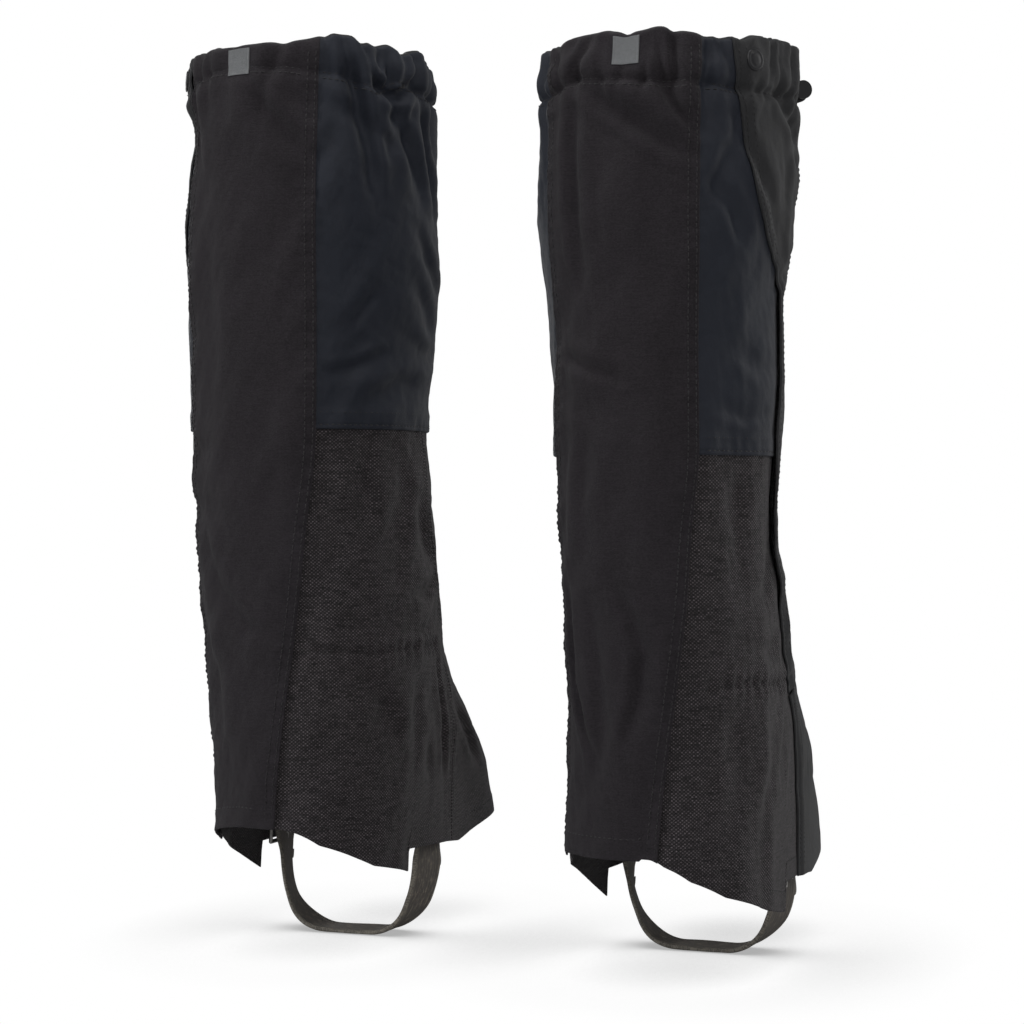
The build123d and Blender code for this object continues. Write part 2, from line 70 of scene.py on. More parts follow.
# ------------------------------------------------------------------ the worn shape
HALF_GAP, TOP_Z, HEM_H, BACK_Z = 108.0, 516.0, 25.0, 75.0
STRAP_W, STRAP_T, STRAP_X, PIVOT_Z, CORD_R = 25.0, 2.2, 45.5, 92.0, 1.3
STRAP_Y = {"left": -49.0, "right": -64.0}
ORIGIN_SHIFT = (-1.481, 53.978)
GAITERS = {
    "left": {
        "sign": 1.0, "dz": 0.0, "lap_z": 300.0,
        "a": [(30, 57), (76, 57), (106, 58), (130, 60), (150, 61), (175, 63), (205, 65), (260, 67), (315, 68), (370, 70), (425, 72), (490, 68), (516, 67)],
        "seam_in": [(30, 0), (75, 2), (150, 10), (230, 24), (300, 32), (516, 34)],
        "seam_out": [(30, 78), (75, 76), (300, 62), (516, 58)],
    },
    "right": {
        "sign": -1.0, "dz": -8.0, "lap_z": 292.0,
        "a": [(30, 57), (76, 57), (106, 57), (130, 58), (150, 58), (175, 58), (205, 59), (260, 60), (315, 62), (370, 65), (425, 69), (490, 68), (516, 67)],
        "seam_in": [(30, 70), (75, 68), (300, 58), (516, 54)],
        "seam_out": [(30, 8), (75, 10), (150, 18), (230, 31), (300, 38), (516, 39)],
    },
}
BACK = [(30, 66), (150, 67), (260, 68), (370, 70), (425, 72), (490, 70), (516, 68)]
FRONT = [(30, 184), (60, 181), (76, 176), (106, 157), (130, 135), (150, 115), (175, 99), (205, 88), (260, 80), (315, 77), (370, 76), (425, 77), (490, 74), (516, 72)]
NOSE = [(30, 3.0), (76, 3.0), (106, 2.9), (130, 2.75), (150, 2.55), (175, 2.35), (205, 2.2), (260, 2.0), (516, 2.0)]
SHIFT = [(30, -6), (150, -6), (260, 0), (516, 0)]
FLAP_EDGE = [(30, 150), (80, 149), (150, 143), (175, 131), (205, 117), (250, 105), (384, 104), (516, 104)]
WING_EDGE = [(392, 100), (397, 92), (405, 86), (423, 76), (440, 71), (477, 63), (516, 57)]
HEM_REST = [(-80, 53), (-140, 62), (-176, 66), (-240, 67)]
HEM = {
    "left": {
        "inner": [(120, 75), (66, 75), (59, 66), (34, 52.5), (0, 45.5), (-5, 44.3), (-6.4, 57), (-60, 55)] + HEM_REST,
        "outer": [(120, 75), (62, 75), (40, 70), (-35, 37), (-36.2, 53)] + HEM_REST,
    },
    "right": {
        "inner": [(120, 77), (36, 75), (-50, 37), (-51.2, 53)] + HEM_REST,
        "outer": [(120, 77), (66, 77), (64.5, 73), (59, 65), (45, 55.5), (10, 44), (-15, 39.5), (-24, 38.4), (-25.4, 54.5), (-70, 54)] + HEM_REST,
    },
}


def lut(table, z):
    """Smooth (monotone cubic) reading of a (z, value) table, for arrays."""
    z = np.asarray(z, float)
    x = np.array([p[0] for p in table], float)
    y = np.array([p[1] for p in table], float)
    h = np.diff(x)
    d = np.diff(y) / h
    m = np.zeros(len(x))
    m[0], m[-1] = d[0], d[-1]
    for k in range(1, len(x) - 1):
        m[k] = 0.0 if d[k - 1] * d[k] <= 0 else 2 * d[k - 1] * d[k] / (d[k - 1] + d[k])
    zc = np.clip(z, x[0], x[-1])
    i = np.clip(np.searchsorted(x, zc) - 1, 0, len(x) - 2)
    s = (zc - x[i]) / h[i]
    return (y[i] * (2 * s**3 - 3 * s**2 + 1) + h[i] * m[i] * (s**3 - 2 * s**2 + s)
            + y[i + 1] * (-2 * s**3 + 3 * s**2) + h[i] * m[i + 1] * (s**3 - s**2))


ZL = np.arange(22.0, 540.0, 2.0)
NU = 1441
TAB = {}
for g, q in GAITERS.items():
    A, B, F, N = lut(q["a"], ZL), lut(BACK, ZL), lut(FRONT, ZL), lut(NOSE, ZL)
    T = {k: np.zeros((len(ZL), NU)) for k in ("x", "y", "nx", "ny")}
    H = np.zeros(len(ZL))
    th = np.linspace(-np.pi, np.pi, 2881)
    sn, cs = np.sin(th), np.cos(th)
    for i in range(len(ZL)):
        nn = np.where(cs < 0, N[i], 2.0)
        k = (np.abs(sn) ** nn + np.abs(cs) ** nn) ** (-1.0 / nn)
        x, y = A[i] * sn * k, np.where(cs < 0, F[i], B[i]) * cs * k
        arc = np.concatenate([[0], np.cumsum(np.hypot(np.diff(x), np.diff(y)))])
        H[i] = arc[-1] / 2
        t = np.linspace(0, arc[-1], NU)
        X, Y = np.interp(t, arc, x), np.interp(t, arc, y)
        dx, dy = np.gradient(X), np.gradient(Y)
        dx[0] = dx[-1] = (dx[0] + dx[-1]) / 2
        dy[0] = dy[-1] = (dy[0] + dy[-1]) / 2
        L = np.hypot(dx, dy)
        T["x"][i], T["y"][i], T["nx"][i], T["ny"][i] = X, Y, -dy / L, dx / L
    T["H"] = H
    TAB[g] = T


def half(g, z):
    return np.interp(z, ZL, TAB[g]["H"])


def local(g, t, z):
    """Local x, y and outward normal at arc t (0 at the back, + inner side) and height z."""
    T = TAB[g]
    t, z = np.broadcast_arrays(np.asarray(t, float), np.asarray(z, float))
    u = ((t / half(g, z) + 1) % 2) / 2 * (NU - 1)
    j = np.minimum(u.astype(int), NU - 2)
    fu = u - j
    w = np.clip((z - ZL[0]) / 2, 0, len(ZL) - 1.001)
    i = w.astype(int)
    fz = w - i
    out = []
    for k in ("x", "y", "nx", "ny"):
        a = T[k]
        out.append((a[i, j] * (1 - fu) + a[i, j + 1] * fu) * (1 - fz) + (a[i + 1, j] * (1 - fu) + a[i + 1, j + 1] * fu) * fz)
    return out


def world(g, x, y, z):
    q = GAITERS[g]
    return np.stack(np.broadcast_arrays(
        q["sign"] * (HALF_GAP - x) + lut(SHIFT, z) + ORIGIN_SHIFT[0], y + ORIGIN_SHIFT[1], z + q["dz"]), -1)


# ------------------------------------------------------------------ folds and gathers
def seg_field(T, Z, pts):
    """Distance to a polyline, and the share of its length at the nearest point."""
    pts = np.array(pts, float)
    L = np.hypot(*np.diff(pts, axis=0).T)
    cum = np.concatenate([[0], np.cumsum(L)])
    best = np.full(T.shape, 1e9)
    share = np.zeros(T.shape)
    side = np.zeros(T.shape)
    for k in range(len(L)):
        d = (pts[k + 1] - pts[k]) / L[k]
        a = (T - pts[k, 0]) * d[0] + (Z - pts[k, 1]) * d[1]
        c = (T - pts[k, 0]) * d[1] - (Z - pts[k, 1]) * d[0]
        ac = np.clip(a, 0, L[k])
        r = np.hypot(a - ac, c)
        m = r < best
        best[m] = r[m]
        share[m] = ((cum[k] + ac) / cum[-1])[m]
        side[m] = np.sign(c)[m]
    return best, share, side


def smooth_noise(T, Z, rng, lt, lz, n=14):
    """Sum of random waves with wavelengths near lt and lz (mm), about -1 to 1."""
    out = np.zeros(T.shape)
    for _ in range(n):
        kt, kz = rng.normal(0, 1, 2)
        out += np.cos(2 * np.pi * (kt * T / lt + kz * Z / lz) + rng.uniform(0, 6.28))
    return out / math.sqrt(n) * 0.9


def sstep(x, a, b):
    s = np.clip((x - a) / (b - a), 0, 1)
    return s * s * (3 - 2 * s)


GT = np.arange(-262.0, 262.1, 1.0)
GZ = np.arange(22.0, 540.1, 1.0)
STITCH_Z = {
    "left": ([-262, -115, -60, -26, -5, 15, 35, 51, 67, 85, 100, 115, 150, 262], [492, 492, 497, 503, 503, 502, 499, 497, 491, 498, 496, 493, 492, 492]),
    "right": ([-262, -160, -121, -76, -39, -13, 10, 28, 57, 90, 262], [488, 486, 488, 487, 489, 490, 492, 494, 487, 490, 492]),
}
# creases: points (t, z), depth, width, lip, and taper at start and end
CREASES = {
    "left": [
        ([(-7, 500), (3, 481), (16, 466), (33, 450)], 2.6, 5.5, 0.5),
        ([(52, 512), (55, 492), (60, 475), (66, 452), (70, 428)], 2.8, 4.5, 0.5),
        ([(60, 505), (66, 497), (76, 490), (88, 492), (98, 503)], 3.4, 3.0, 0.6),
        ([(72, 514), (78, 500), (84, 480), (98, 458), (108, 434)], 2.6, 4.5, 0.5),
        ([(100, 514), (104, 497), (112, 472), (122, 445), (128, 420)], 2.6, 4.0, 0.5),
        ([(66, 470), (78, 462), (92, 466)], 1.4, 5.0, 0.4),
        ([(40, 484), (52, 478), (64, 470)], 1.0, 4.5, 0.4),
        ([(34, 331), (54, 335), (78, 345)], 1.0, 3.5, 0.6),
        ([(70, 378), (60, 367), (50, 354)], 0.9, 4.0, 0.6),
        ([(57, 314), (73, 321), (88, 327), (104, 326)], 1.3, 5.0, 0.5),
        ([(102, 416), (116, 396), (136, 376)], 1.3, 4.5, 0.7),
        ([(95, 352), (112, 344), (134, 346)], 1.1, 5.0, 0.5),
        ([(96, 388), (110, 372), (122, 352)], 1.0, 5.0, 0.5),
        ([(64, 300), (61, 271), (65, 240)], 1.2, 6.0, 0.5),
        ([(84, 290), (92, 262), (86, 236), (78, 214)], 1.3, 7.0, 0.5),
        ([(104, 262), (118, 236), (130, 222)], 1.6, 6.0, 0.5),
        ([(134, 214), (118, 205), (96, 206)], 1.6, 4.5, 0.6),
        ([(128, 190), (110, 183), (92, 184)], 1.2, 3.5, 0.5),
        ([(134, 176), (144, 130), (150, 92), (151, 55)], 1.5, 3.2, 0.7),
        ([(52, 165), (72, 140), (84, 118)], 1.2, 7.0, 0.4),
        ([(100, 158), (104, 130), (96, 104)], 1.2, 7.0, 0.4),
        ([(171, 140), (190, 116), (206, 88)], 1.6, 4.0, 0.6),
        ([(120, 120), (126, 96), (122, 70)], 1.3, 5.0, 0.5),
        ([(-40, 420), (-34, 360), (-38, 300)], 1.0, 9.0, 0.3),
        ([(-52, 250), (-36, 214), (-20, 186)], 1.3, 7.0, 0.4),
        ([(-28, 208), (-12, 190), (4, 184)], 1.1, 5.0, 0.5),
        ([(-60, 190), (-44, 160), (-38, 120)], 1.2, 8.0, 0.4),
        ([(-2, 330), (8, 280), (4, 230)], 0.8, 9.0, 0.3),
        ([(-70, 300), (-50, 288), (-34, 290)], 0.8, 6.0, 0.4),
    ],
    "right": [
        ([(26, 492), (14, 481), (-2, 470), (-18, 459), (-33, 449)], 2.7, 5.0, 0.6),
        ([(-17, 512), (-20, 487), (-26, 474), (-37, 462)], 3.0, 3.6, 0.6),
        ([(-24, 512), (-26, 494), (-24, 480)], 2.4, 2.6, 0.5),
        ([(20, 476), (8, 464), (0, 458)], 1.2, 6.0, 0.3),
        ([(30, 494), (33, 456), (31, 418), (27, 380)], 2.4, 4.0, 0.5),
        ([(22, 512), (30, 500), (33, 490)], 2.0, 3.0, 0.5),
        ([(41, 346), (22, 338), (2, 331)], 1.3, 3.5, 0.6),
        ([(44, 330), (30, 318), (10, 306)], 0.8, 6.0, 0.4),
        ([(23, 316), (27, 268), (24, 232)], 1.5, 6.0, 0.5),
        ([(4, 300), (8, 262), (2, 226)], 0.9, 8.0, 0.3),
        ([(26, 222), (23, 171), (22, 122)], 1.7, 5.5, 0.5),
        ([(12, 226), (0, 204), (-4, 186), (0, 160), (8, 136)], 2.0, 4.5, 0.6),
        ([(-4, 222), (-14, 204), (-22, 190)], 1.0, 5.0, 0.4),
        ([(46, 224), (46, 169), (26, 122)], 1.4, 3.0, 0.8),
        ([(-59, 462), (-50, 440), (-44, 424)], 1.2, 5.0, 0.4),
        ([(-44, 440), (-56, 426), (-66, 404)], 1.4, 4.5, 0.5),
        ([(-62, 470), (-78, 440), (-92, 412)], 1.0, 4.0, 0.6),
        ([(-110, 470), (-122, 440), (-124, 410)], 1.4, 5.5, 0.5),
        ([(-84, 500), (-96, 482), (-110, 470), (-126, 462)], 1.6, 4.0, 0.5),
        ([(-100, 384), (-114, 396), (-128, 402)], 1.3, 4.0, 0.6),
        ([(-60, 350), (-80, 338), (-100, 342)], 0.8, 6.0, 0.4),
        ([(-48, 318), (-70, 312), (-92, 316)], 0.7, 4.0, 0.5),
        ([(-62, 284), (-64, 250), (-58, 226)], 0.9, 7.0, 0.4),
        ([(-104, 240), (-92, 220), (-70, 212)], 1.3, 6.0, 0.5),
        ([(-118, 196), (-96, 186), (-70, 188)], 1.2, 4.5, 0.5),
        ([(-126, 160), (-112, 130), (-108, 100)], 1.2, 6.5, 0.4),
        ([(-52, 158), (-60, 120), (-54, 86)], 1.0, 8.0, 0.4),
        ([(-88, 156), (-92, 126), (-84, 90)], 0.9, 7.0, 0.4),
    ],
}
EL_Z = {"left": 175.0, "right": 168.0}
# hardware spots kept flat: (t, z, radius t, radius z)
FLAT = {"left": [(-70, 503, 9, 9), (-160, 490, 8, 34), (-12, 507, 7, 8)], "right": [(-70, 503, 9, 9), (-160, 490, 8, 34), (0, 507, 7, 8)]}
BROAD = {
    "left": [
        ([(60, 247), (80, 226), (100, 214), (120, 199), (150, 187)], 34, [(50, 8.0), (97, 8.5), (114, 6.0), (131, 3.5), (148, 1.8), (168, 0)]),
        ([(30, 104), (500, 104)], 30, [(40, -4.0), (58, -4.0), (84, 0)]),
        ([(30, -76), (500, -76)], 26, [(395, 0), (430, -2.0), (452, -3.5), (472, -5.5), (482, -4.0), (491, 0)]),
        ([(30, 138), (500, 140)], 26, [(205, 0), (225, 1.0), (245, 2.5), (262, 2.5), (280, 0), (300, -2.0), (318, -2.0), (335, 0)]),
    ],
    "right": [
        ([(30, -138), (500, -138)], 34, [(140, 0), (178, -2.4), (193, -1.6), (225, -2.2), (241, -4.5), (256, -3.8), (272, -5.0), (288, -4.2), (304, -3.2), (320, -1.6), (335, -1.4), (351, -3.8), (367, -5.8), (382, -7.4), (398, -5.0), (414, -3.7), (430, -3.0), (447, 0)]),
        ([(30, 76), (500, 76)], 28, [(190, 0), (209, -4.0), (241, -4.4), (262, -2.0), (304, -2.6), (340, -3.4), (367, -3.0), (395, -1.2), (430, 0)]),
    ],
}
DISP, RISE = {}, {}
for gi, g in enumerate(("left", "right")):
    rng = np.random.default_rng(11 + gi)
    T, Z = np.meshgrid(GT, GZ)
    Hh = half(g, Z)
    si, so = lut(GAITERS[g]["seam_in"], Z), -lut(GAITERS[g]["seam_out"], Z)
    D = np.zeros(T.shape)
    # slack cloth: broad, then small
    D += 1.1 * smooth_noise(T, Z, rng, 70, 120) + 0.55 * smooth_noise(T, Z, rng, 30, 60)
    D += 0.20 * smooth_noise(T, Z, rng, 11, 18)
    for pts, depth, w, lip in CREASES[g]:
        d, s, side = seg_field(T, Z, pts)
        taper = np.sin(np.pi * np.clip(s, 0.02, 0.98)) ** 0.6
        # one flank steeper than the other, so the fold leans
        ww = np.where(side > 0, w * 1.25, w * 0.8)
        D += 1.75 * taper * depth * (-np.exp(-((d / ww) ** 2)) + lip * np.exp(-(((d - 1.9 * ww) / (1.1 * ww)) ** 2)))
    # folds nobody sees in one view: same family, scattered over the rest
    for _ in range(26):
        t0 = rng.uniform(-262, -70) if g == "left" else (rng.uniform(60, 262) if rng.random() < 0.6 else rng.uniform(-262, -138))
        z0 = rng.uniform(90, 470)
        ang = rng.normal(0, 0.7)
        ln = rng.uniform(25, 70)
        pts = [(t0, z0), (t0 + math.sin(ang) * ln / 2 + rng.normal(0, 4), z0 - math.cos(ang) * ln / 2), (t0 + math.sin(ang) * ln, z0 - math.cos(ang) * ln)]
        d, s, side = seg_field(T, Z, pts)
        w = rng.uniform(4, 8)
        D += np.sin(np.pi * np.clip(s, 0.02, 0.98)) ** 0.6 * rng.uniform(0.7, 1.5) * (-np.exp(-((d / w) ** 2)) + 0.45 * np.exp(-(((d - 1.9 * w) / (1.1 * w)) ** 2)))
    # gathers of the drawcord hem
    zs = np.interp(T, *STITCH_Z[g])
    rise = np.zeros(T.shape)
    t0 = -250.0
    while t0 < 250:
        quiet = (g == "left" and -40 < t0 < 36) or (g == "right" and 2 < t0 < 18)
        step = rng.uniform(7, 17) * (2.0 if quiet else 1.0)
        t0 += step
        lean = rng.normal(0, 0.16)
        big = rng.random() < 0.4
        depth = (rng.uniform(3.6, 5.6) if big else rng.uniform(1.6, 3.0)) * (0.35 if quiet else 1.0)
        w = rng.uniform(2.8, 4.4) if big else rng.uniform(1.7, 2.8)
        ln = rng.uniform(30, 70) if big else rng.uniform(8, 26)
        c = t0 + lean * (505 - Z) + 1.2 * np.sin((Z - 480) / 9 + t0)
        env = sstep(Z, 500 - 12 - ln, 500 - 8) * (0.55 + 0.45 * np.exp(-(((Z - 500) / 12) ** 2)))
        D += -depth * env * np.exp(-(((T - c) / w) ** 2)) + 0.55 * depth * env * np.exp(-(((T - c - 2.1 * w) / (1.5 * w)) ** 2))
        rise += rng.uniform(-4.0, 1.5) * np.exp(-(((T - c) / (w * 1.4)) ** 2)) * (0.5 if quiet else 1.0)
    full = 1.0 + (0.9 * sstep(T, 38, 52) if g == "left" else 0.5)
    D += full * (-1.6 * np.exp(-(((Z - zs) / 1.9) ** 2)) + 1.7 * np.exp(-(((Z - (zs + 9)) / 6.0) ** 2)) + 0.9 * np.exp(-(((Z - zs + 8) / 6) ** 2)))
    rise += 1.6 * np.sin(T / 17.0 + gi) * 0.5
    if g == "left":
        rise += 5.5 * np.exp(-(((T - 46) / 15) ** 2)) + 2.5 * np.exp(-(((T - 82) / 9) ** 2)) + 3.0 * np.exp(-(((T - 108) / 8) ** 2))
    else:
        rise += 2.6 * np.exp(-(((T + 18) / 9) ** 2)) + 1.0 * np.exp(-(((T - 20) / 20) ** 2)) + 2.0 * np.exp(-(((T + 100) / 30) ** 2))
    # puckers of the ankle elastic, not on the back panel
    off_back = sstep(T, si + 4, si + 14) + sstep(-T, -so + 4, -so + 14)
    near_front = 1 - sstep(np.abs(T), 128, 150)
    ez = EL_Z[g] + 1.2 * np.sin(T / 14.0)
    env = off_back * near_front
    D += env * (-1.1 * np.exp(-(((Z - ez) / 1.6) ** 2)) + 0.5 * np.exp(-(((np.abs(Z - ez) - 6) / 4) ** 2)))
    D += env * 0.75 * np.cos(2 * np.pi * T / 8.5 + 1.7 * np.sin(T / 11.0)) * np.exp(-((Z - ez) / 7.0) ** 2)
    # puckers along the long seams and the lap seam
    for sline, sgn in ((si, -1), (so, 1)):
        dd = (T - sline) * sgn
        D += 0.30 * np.cos(2 * np.pi * Z / 9.5 + 2.0 * np.sin(Z / 13.0)) * np.exp(-(((dd - 4) / 6.0) ** 2))
    lz = GAITERS[g]["lap_z"] + 4
    D += off_back * 0.25 * np.cos(2 * np.pi * T / 9.0 + 1.5 * np.sin(T / 10.0)) * np.exp(-(((Z - lz) / 6.0) ** 2))
    # bottom edge curls a little
    D += 0.6 * np.cos(2 * np.pi * T / 31.0 + gi) * sstep(-Z, -96, -50)
    # hardware lies on flat cloth; the toe and the strap side stay near the frame
    keep = np.ones(T.shape)
    for t_, z_, rt, rz in FLAT[g]:
        keep *= 1 - np.exp(-(((T - t_) / (rt * 1.5)) ** 4 + ((Z - z_) / (rz * 1.35)) ** 4))
    keep *= 1 - 0.85 * sstep(-Z, -112, -92) * sstep(np.abs(T), 84, 100)
    D = D * keep
    if g == "right":
        D *= 1 - 0.85 * sstep(T, Hh - 96, Hh - 66)
    D = np.where(D > 0, 5.0 * np.tanh(D / 5.0), 7.0 * np.tanh(D / 7.0))
    # broad set of the worn cloth: where each tube stands fuller or hangs closer
    for centre, width, table in BROAD[g]:
        c = np.interp(Z, *np.array(centre, float).T)
        D += np.exp(-(((T - c) / width) ** 2)) * np.interp(Z, *np.array(table, float).T)
    DISP[g] = D
    RISE[g] = rise * (0.15 + 0.85 * np.clip(keep, 0, 1)) * sstep(Z, 492, 516)


def sample(grid, t, z):
    t, z = np.broadcast_arrays(np.asarray(t, float), np.asarray(z, float))
    # arcs run on past the front centre: bring them back into range
    a = np.clip(t - GT[0], 0, len(GT) - 1.001)
    b = np.clip(z - GZ[0], 0, len(GZ) - 1.001)
    i, j = b.astype(int), a.astype(int)
    fi, fj = b - i, a - j
    return (grid[i, j] * (1 - fj) + grid[i, j + 1] * fj) * (1 - fi) + (grid[i + 1, j] * (1 - fj) + grid[i + 1, j + 1] * fj) * fi


def disp(g, t, z, grid=DISP):
    """Field value, blended across the front centre so that both arc directions agree."""
    H = half(g, z)
    t = np.asarray(t, float)
    tt = ((t + H) % (2 * H)) - H
    v = sample(grid[g], tt, z)
    w = sstep(np.abs(tt), H - 14, H) * 0.5
    other = sample(grid[g], np.where(tt > 0, tt - 2 * H, tt + 2 * H).clip(-262, 262), z)
    return v * (1 - w) + other * w


def cloth(g, t, z, off):
    """Points on the worn cloth, in metres."""
    x, y, nx, ny = local(g, t, z)
    d = disp(g, t, z) + off
    r = disp(g, t, z, RISE)
    p = world(g, x + nx * d, y + ny * d, np.asarray(z, float) + 0.0)
    p[..., 2] += r
    return p * MM


# ------------------------------------------------------------------ meshes
def new_mesh(name, verts, faces, mats=(), uv=None, smooth=True, mat_index=None):
    me = bpy.data.meshes.new(name)
    me.from_pydata([], [], [])
    me.clear_geometry()
    verts = np.asarray(verts, np.float32).reshape(-1, 3)
    me.from_pydata(verts.tolist(), [], faces if isinstance(faces, list) else faces.tolist())
    if uv is not None:
        layer = me.uv_layers.new(name="UVMap")
        loops = np.zeros(len(me.loops), np.int32)
        me.loops.foreach_get("vertex_index", loops)
        layer.data.foreach_set("uv", np.asarray(uv, np.float32)[loops].ravel())
    me.polygons.foreach_set("use_smooth", np.full(len(me.polygons), smooth))
    for m in mats:
        me.materials.append(m)
    if mat_index is not None:
        me.polygons.foreach_set("material_index", np.asarray(mat_index, np.int32))
    me.update()
    me.validate()
    ob = bpy.data.objects.new(name, me)
    bpy.context.scene.collection.objects.link(ob)
    return ob


def grid_faces(R, C, flip=False, base=0):
    i, j = np.meshgrid(np.arange(R - 1), np.arange(C - 1), indexing="ij")
    a = base + i * C + j
    q = np.stack([a, a + 1, a + C + 1, a + C], -1).reshape(-1, 4)
    return q[:, ::-1] if flip else q


EDGE = [0, 0.1, 0.3, 0.6, 1.0, 1.5, 2.0, 2.6, 3.4, 4.4, 5.4, 6.0, 6.6, 7.4, 8.4, 10.0]
SOFT = [0, 0.1, 0.3, 0.6, 1.1, 2.0, 3.4, 5.2, 7.5]


def spread(n0, n1, width, step):
    """Positions across a width: fine at each end (lists n0, n1), even between."""
    tot = n0[-1] + n1[-1]
    if width <= tot + step:
        f = width / (tot + step)
        n0, n1, mid = [a * f for a in n0], [a * f for a in n1], step * f
    else:
        mid = width - tot
    k = max(1, int(round(mid / step)))
    out = list(n0) + [n0[-1] + mid * i / k for i in range(1, k)] + [width - a for a in reversed(n1)]
    return np.array(out), len(n0), len(n1)


def sew(d, rows=(1.8, 6.0), lift=0.42, band=7.6):
    """Extra thickness at distance d from a folded, stitched edge."""
    h = lift * (1 - sstep(d, band - 0.6, band + 0.9))
    for r in rows:
        h = h - 0.38 * np.exp(-(((d - r) / 0.42) ** 2)) + 0.12 * np.exp(-(((d - r) / 1.3) ** 2))
    return h


def panel(name, g, t0, t1, zb, zt, o0, o1, mats, body, nodes, e0=None, e1=None, eb=None, et=None, step=None, fold=True, thin=None):
    """Closed cloth piece between arcs t0(z), t1(z) and heights zb, zt (numbers, or a
    function of t, z giving the edge height). o0, o1 are the faces' offsets, numbers or
    functions of t, z. e0, e1, eb, et are sewn-edge settings. Gives the object and the
    function that lists the arcs of all columns."""
    step = step or STEP
    zlo = zb.start if callable(zb) else zb
    zhi = zt.start if callable(zt) else zt
    zz = np.linspace(zlo, zhi, 60)
    wmax = float(np.max(t1(zz) - t0(zz)))
    n0, n1 = (EDGE if e0 else SOFT), (EDGE if e1 else SOFT)
    pos, k0, k1 = spread(n0, n1, wmax, step)
    C = len(pos)
    ramp0 = np.array(list(n0) + [0] * (C - k0))
    ramp1 = np.array([0] * (C - k1) + list(reversed(n1)))
    m = np.clip((pos - n0[-1]) / max(wmax - n0[-1] - n1[-1], 1e-6), 0, 1)
    idx = np.arange(C)

    def tcol(z):
        """Arc of every column at heights z (R x C, one height per point)."""
        lo_, hi_ = t0(z), t1(z)
        f = np.clip((hi_ - lo_) / (n0[-1] + n1[-1] + step), 0.02, 1.0)
        mid = lo_ + n0[-1] * f + (hi_ - lo_ - (n0[-1] + n1[-1]) * f) * m
        return np.where(idx < k0, lo_ + ramp0 * f, np.where(idx >= C - k1, hi_ - ramp1 * f, mid))

    def solve(edge):
        if not callable(edge):
            return np.full(C, float(edge))
        z = np.full(C, edge.start)
        for _ in range(60):
            t = tcol(z)
            z = z + 0.4 * (edge(t, z) - z)
        return z

    lo, hi = solve(zb), solve(zt)
    hmax = float((hi - lo).max())
    nb, nt = (EDGE if eb else SOFT), (EDGE if et else SOFT)
    rp, r0, r1 = spread(nb, nt, hmax, step)
    R = len(rp)
    h = (hi - lo)[None, :]
    f = np.clip(h / (nb[-1] + nt[-1] + step), 0.02, 1.0)
    ri = np.arange(R)[:, None]
    low = lo[None, :] + np.array(list(nb) + [0] * (R - r0))[:, None] * f
    up = hi[None, :] - np.array([0] * (R - r1) + list(reversed(nt)))[:, None] * f
    mr = np.clip((rp - nb[-1]) / max(hmax - nb[-1] - nt[-1], 1e-6), 0, 1)[:, None]
    mid = lo[None, :] + nb[-1] * f + (h - (nb[-1] + nt[-1]) * f) * mr
    Zg = np.where(ri < r0, low, np.where(ri >= R - r1, up, mid))
    Tg = tcol(Zg)
    d0, d1 = Tg - t0(Zg), t1(Zg) - Tg
    db, dt = Zg - lo[None, :], hi[None, :] - Zg
    a0 = o0(Tg, Zg) if callable(o0) else np.full(Tg.shape, float(o0))
    a1 = o1(Tg, Zg) if callable(o1) else np.full(Tg.shape, float(o1))
    rr = float(min(0.5, (a1 - a0).min() / 2))
    dmin = np.minimum(np.minimum(d0, d1), np.minimum(db, dt)).clip(0)
    rnd = rr - np.sqrt(np.clip(rr * rr - (rr - np.minimum(dmin, rr)) ** 2, 0, None))
    add = np.zeros((R, C))
    for e, d in ((e0, d0), (e1, d1), (eb, db), (et, dt)):
        if e:
            w = sew(d, **e)
            add = np.where(np.abs(w) > np.abs(add), w, add)
    # the cloth turns in over the top edge
    turn = 0.0
    if fold and not callable(zt) and zt >= TOP_Z:
        over = np.clip(Zg - (TOP_Z - 2.6), 0, 2.55)
        turn = np.sqrt(2.6 ** 2 - over ** 2) - 2.6
    outer = cloth(g, Tg, Zg, a1 + add * sstep(dmin, 0, 0.5) - rnd + turn)
    inner = cloth(g, Tg, Zg, a0 + rnd + turn)
    V = np.concatenate([outer.reshape(-1, 3), inner.reshape(-1, 3)])
    flip = GAITERS[g]["sign"] < 0
    n = R * C
    F = [grid_faces(R, C, flip), grid_faces(R, C, not flip, n)]
    ring = np.concatenate([np.arange(C), np.arange(1, R) * C + C - 1, (R - 1) * C + np.arange(C - 2, -1, -1), np.arange(R - 2, 0, -1) * C])
    nxt = np.roll(ring, -1)
    side = np.stack([ring, ring + n, nxt + n, nxt], -1)
    F.append(side[:, ::-1] if flip else side)
    uv = np.tile(np.stack([Tg, Zg], -1).reshape(-1, 2), (2, 1))
    ob = new_mesh(name, V, np.concatenate(F), mats, uv)
    if body:
        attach(ob, body)
    if nodes:
        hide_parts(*nodes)
    return ob, tcol


def hem_edge(g):
    tab = {k: (np.array([p[0] for p in v][::-1], float), np.array([p[1] for p in v][::-1], float)) for k, v in HEM[g].items()}

    def f(t, z):
        x, y = local(g, t, z)[:2]
        return np.where(x > 0, np.interp(y, *tab["inner"]), np.interp(y, *tab["outer"]))
    f.start = 60.0
    return f


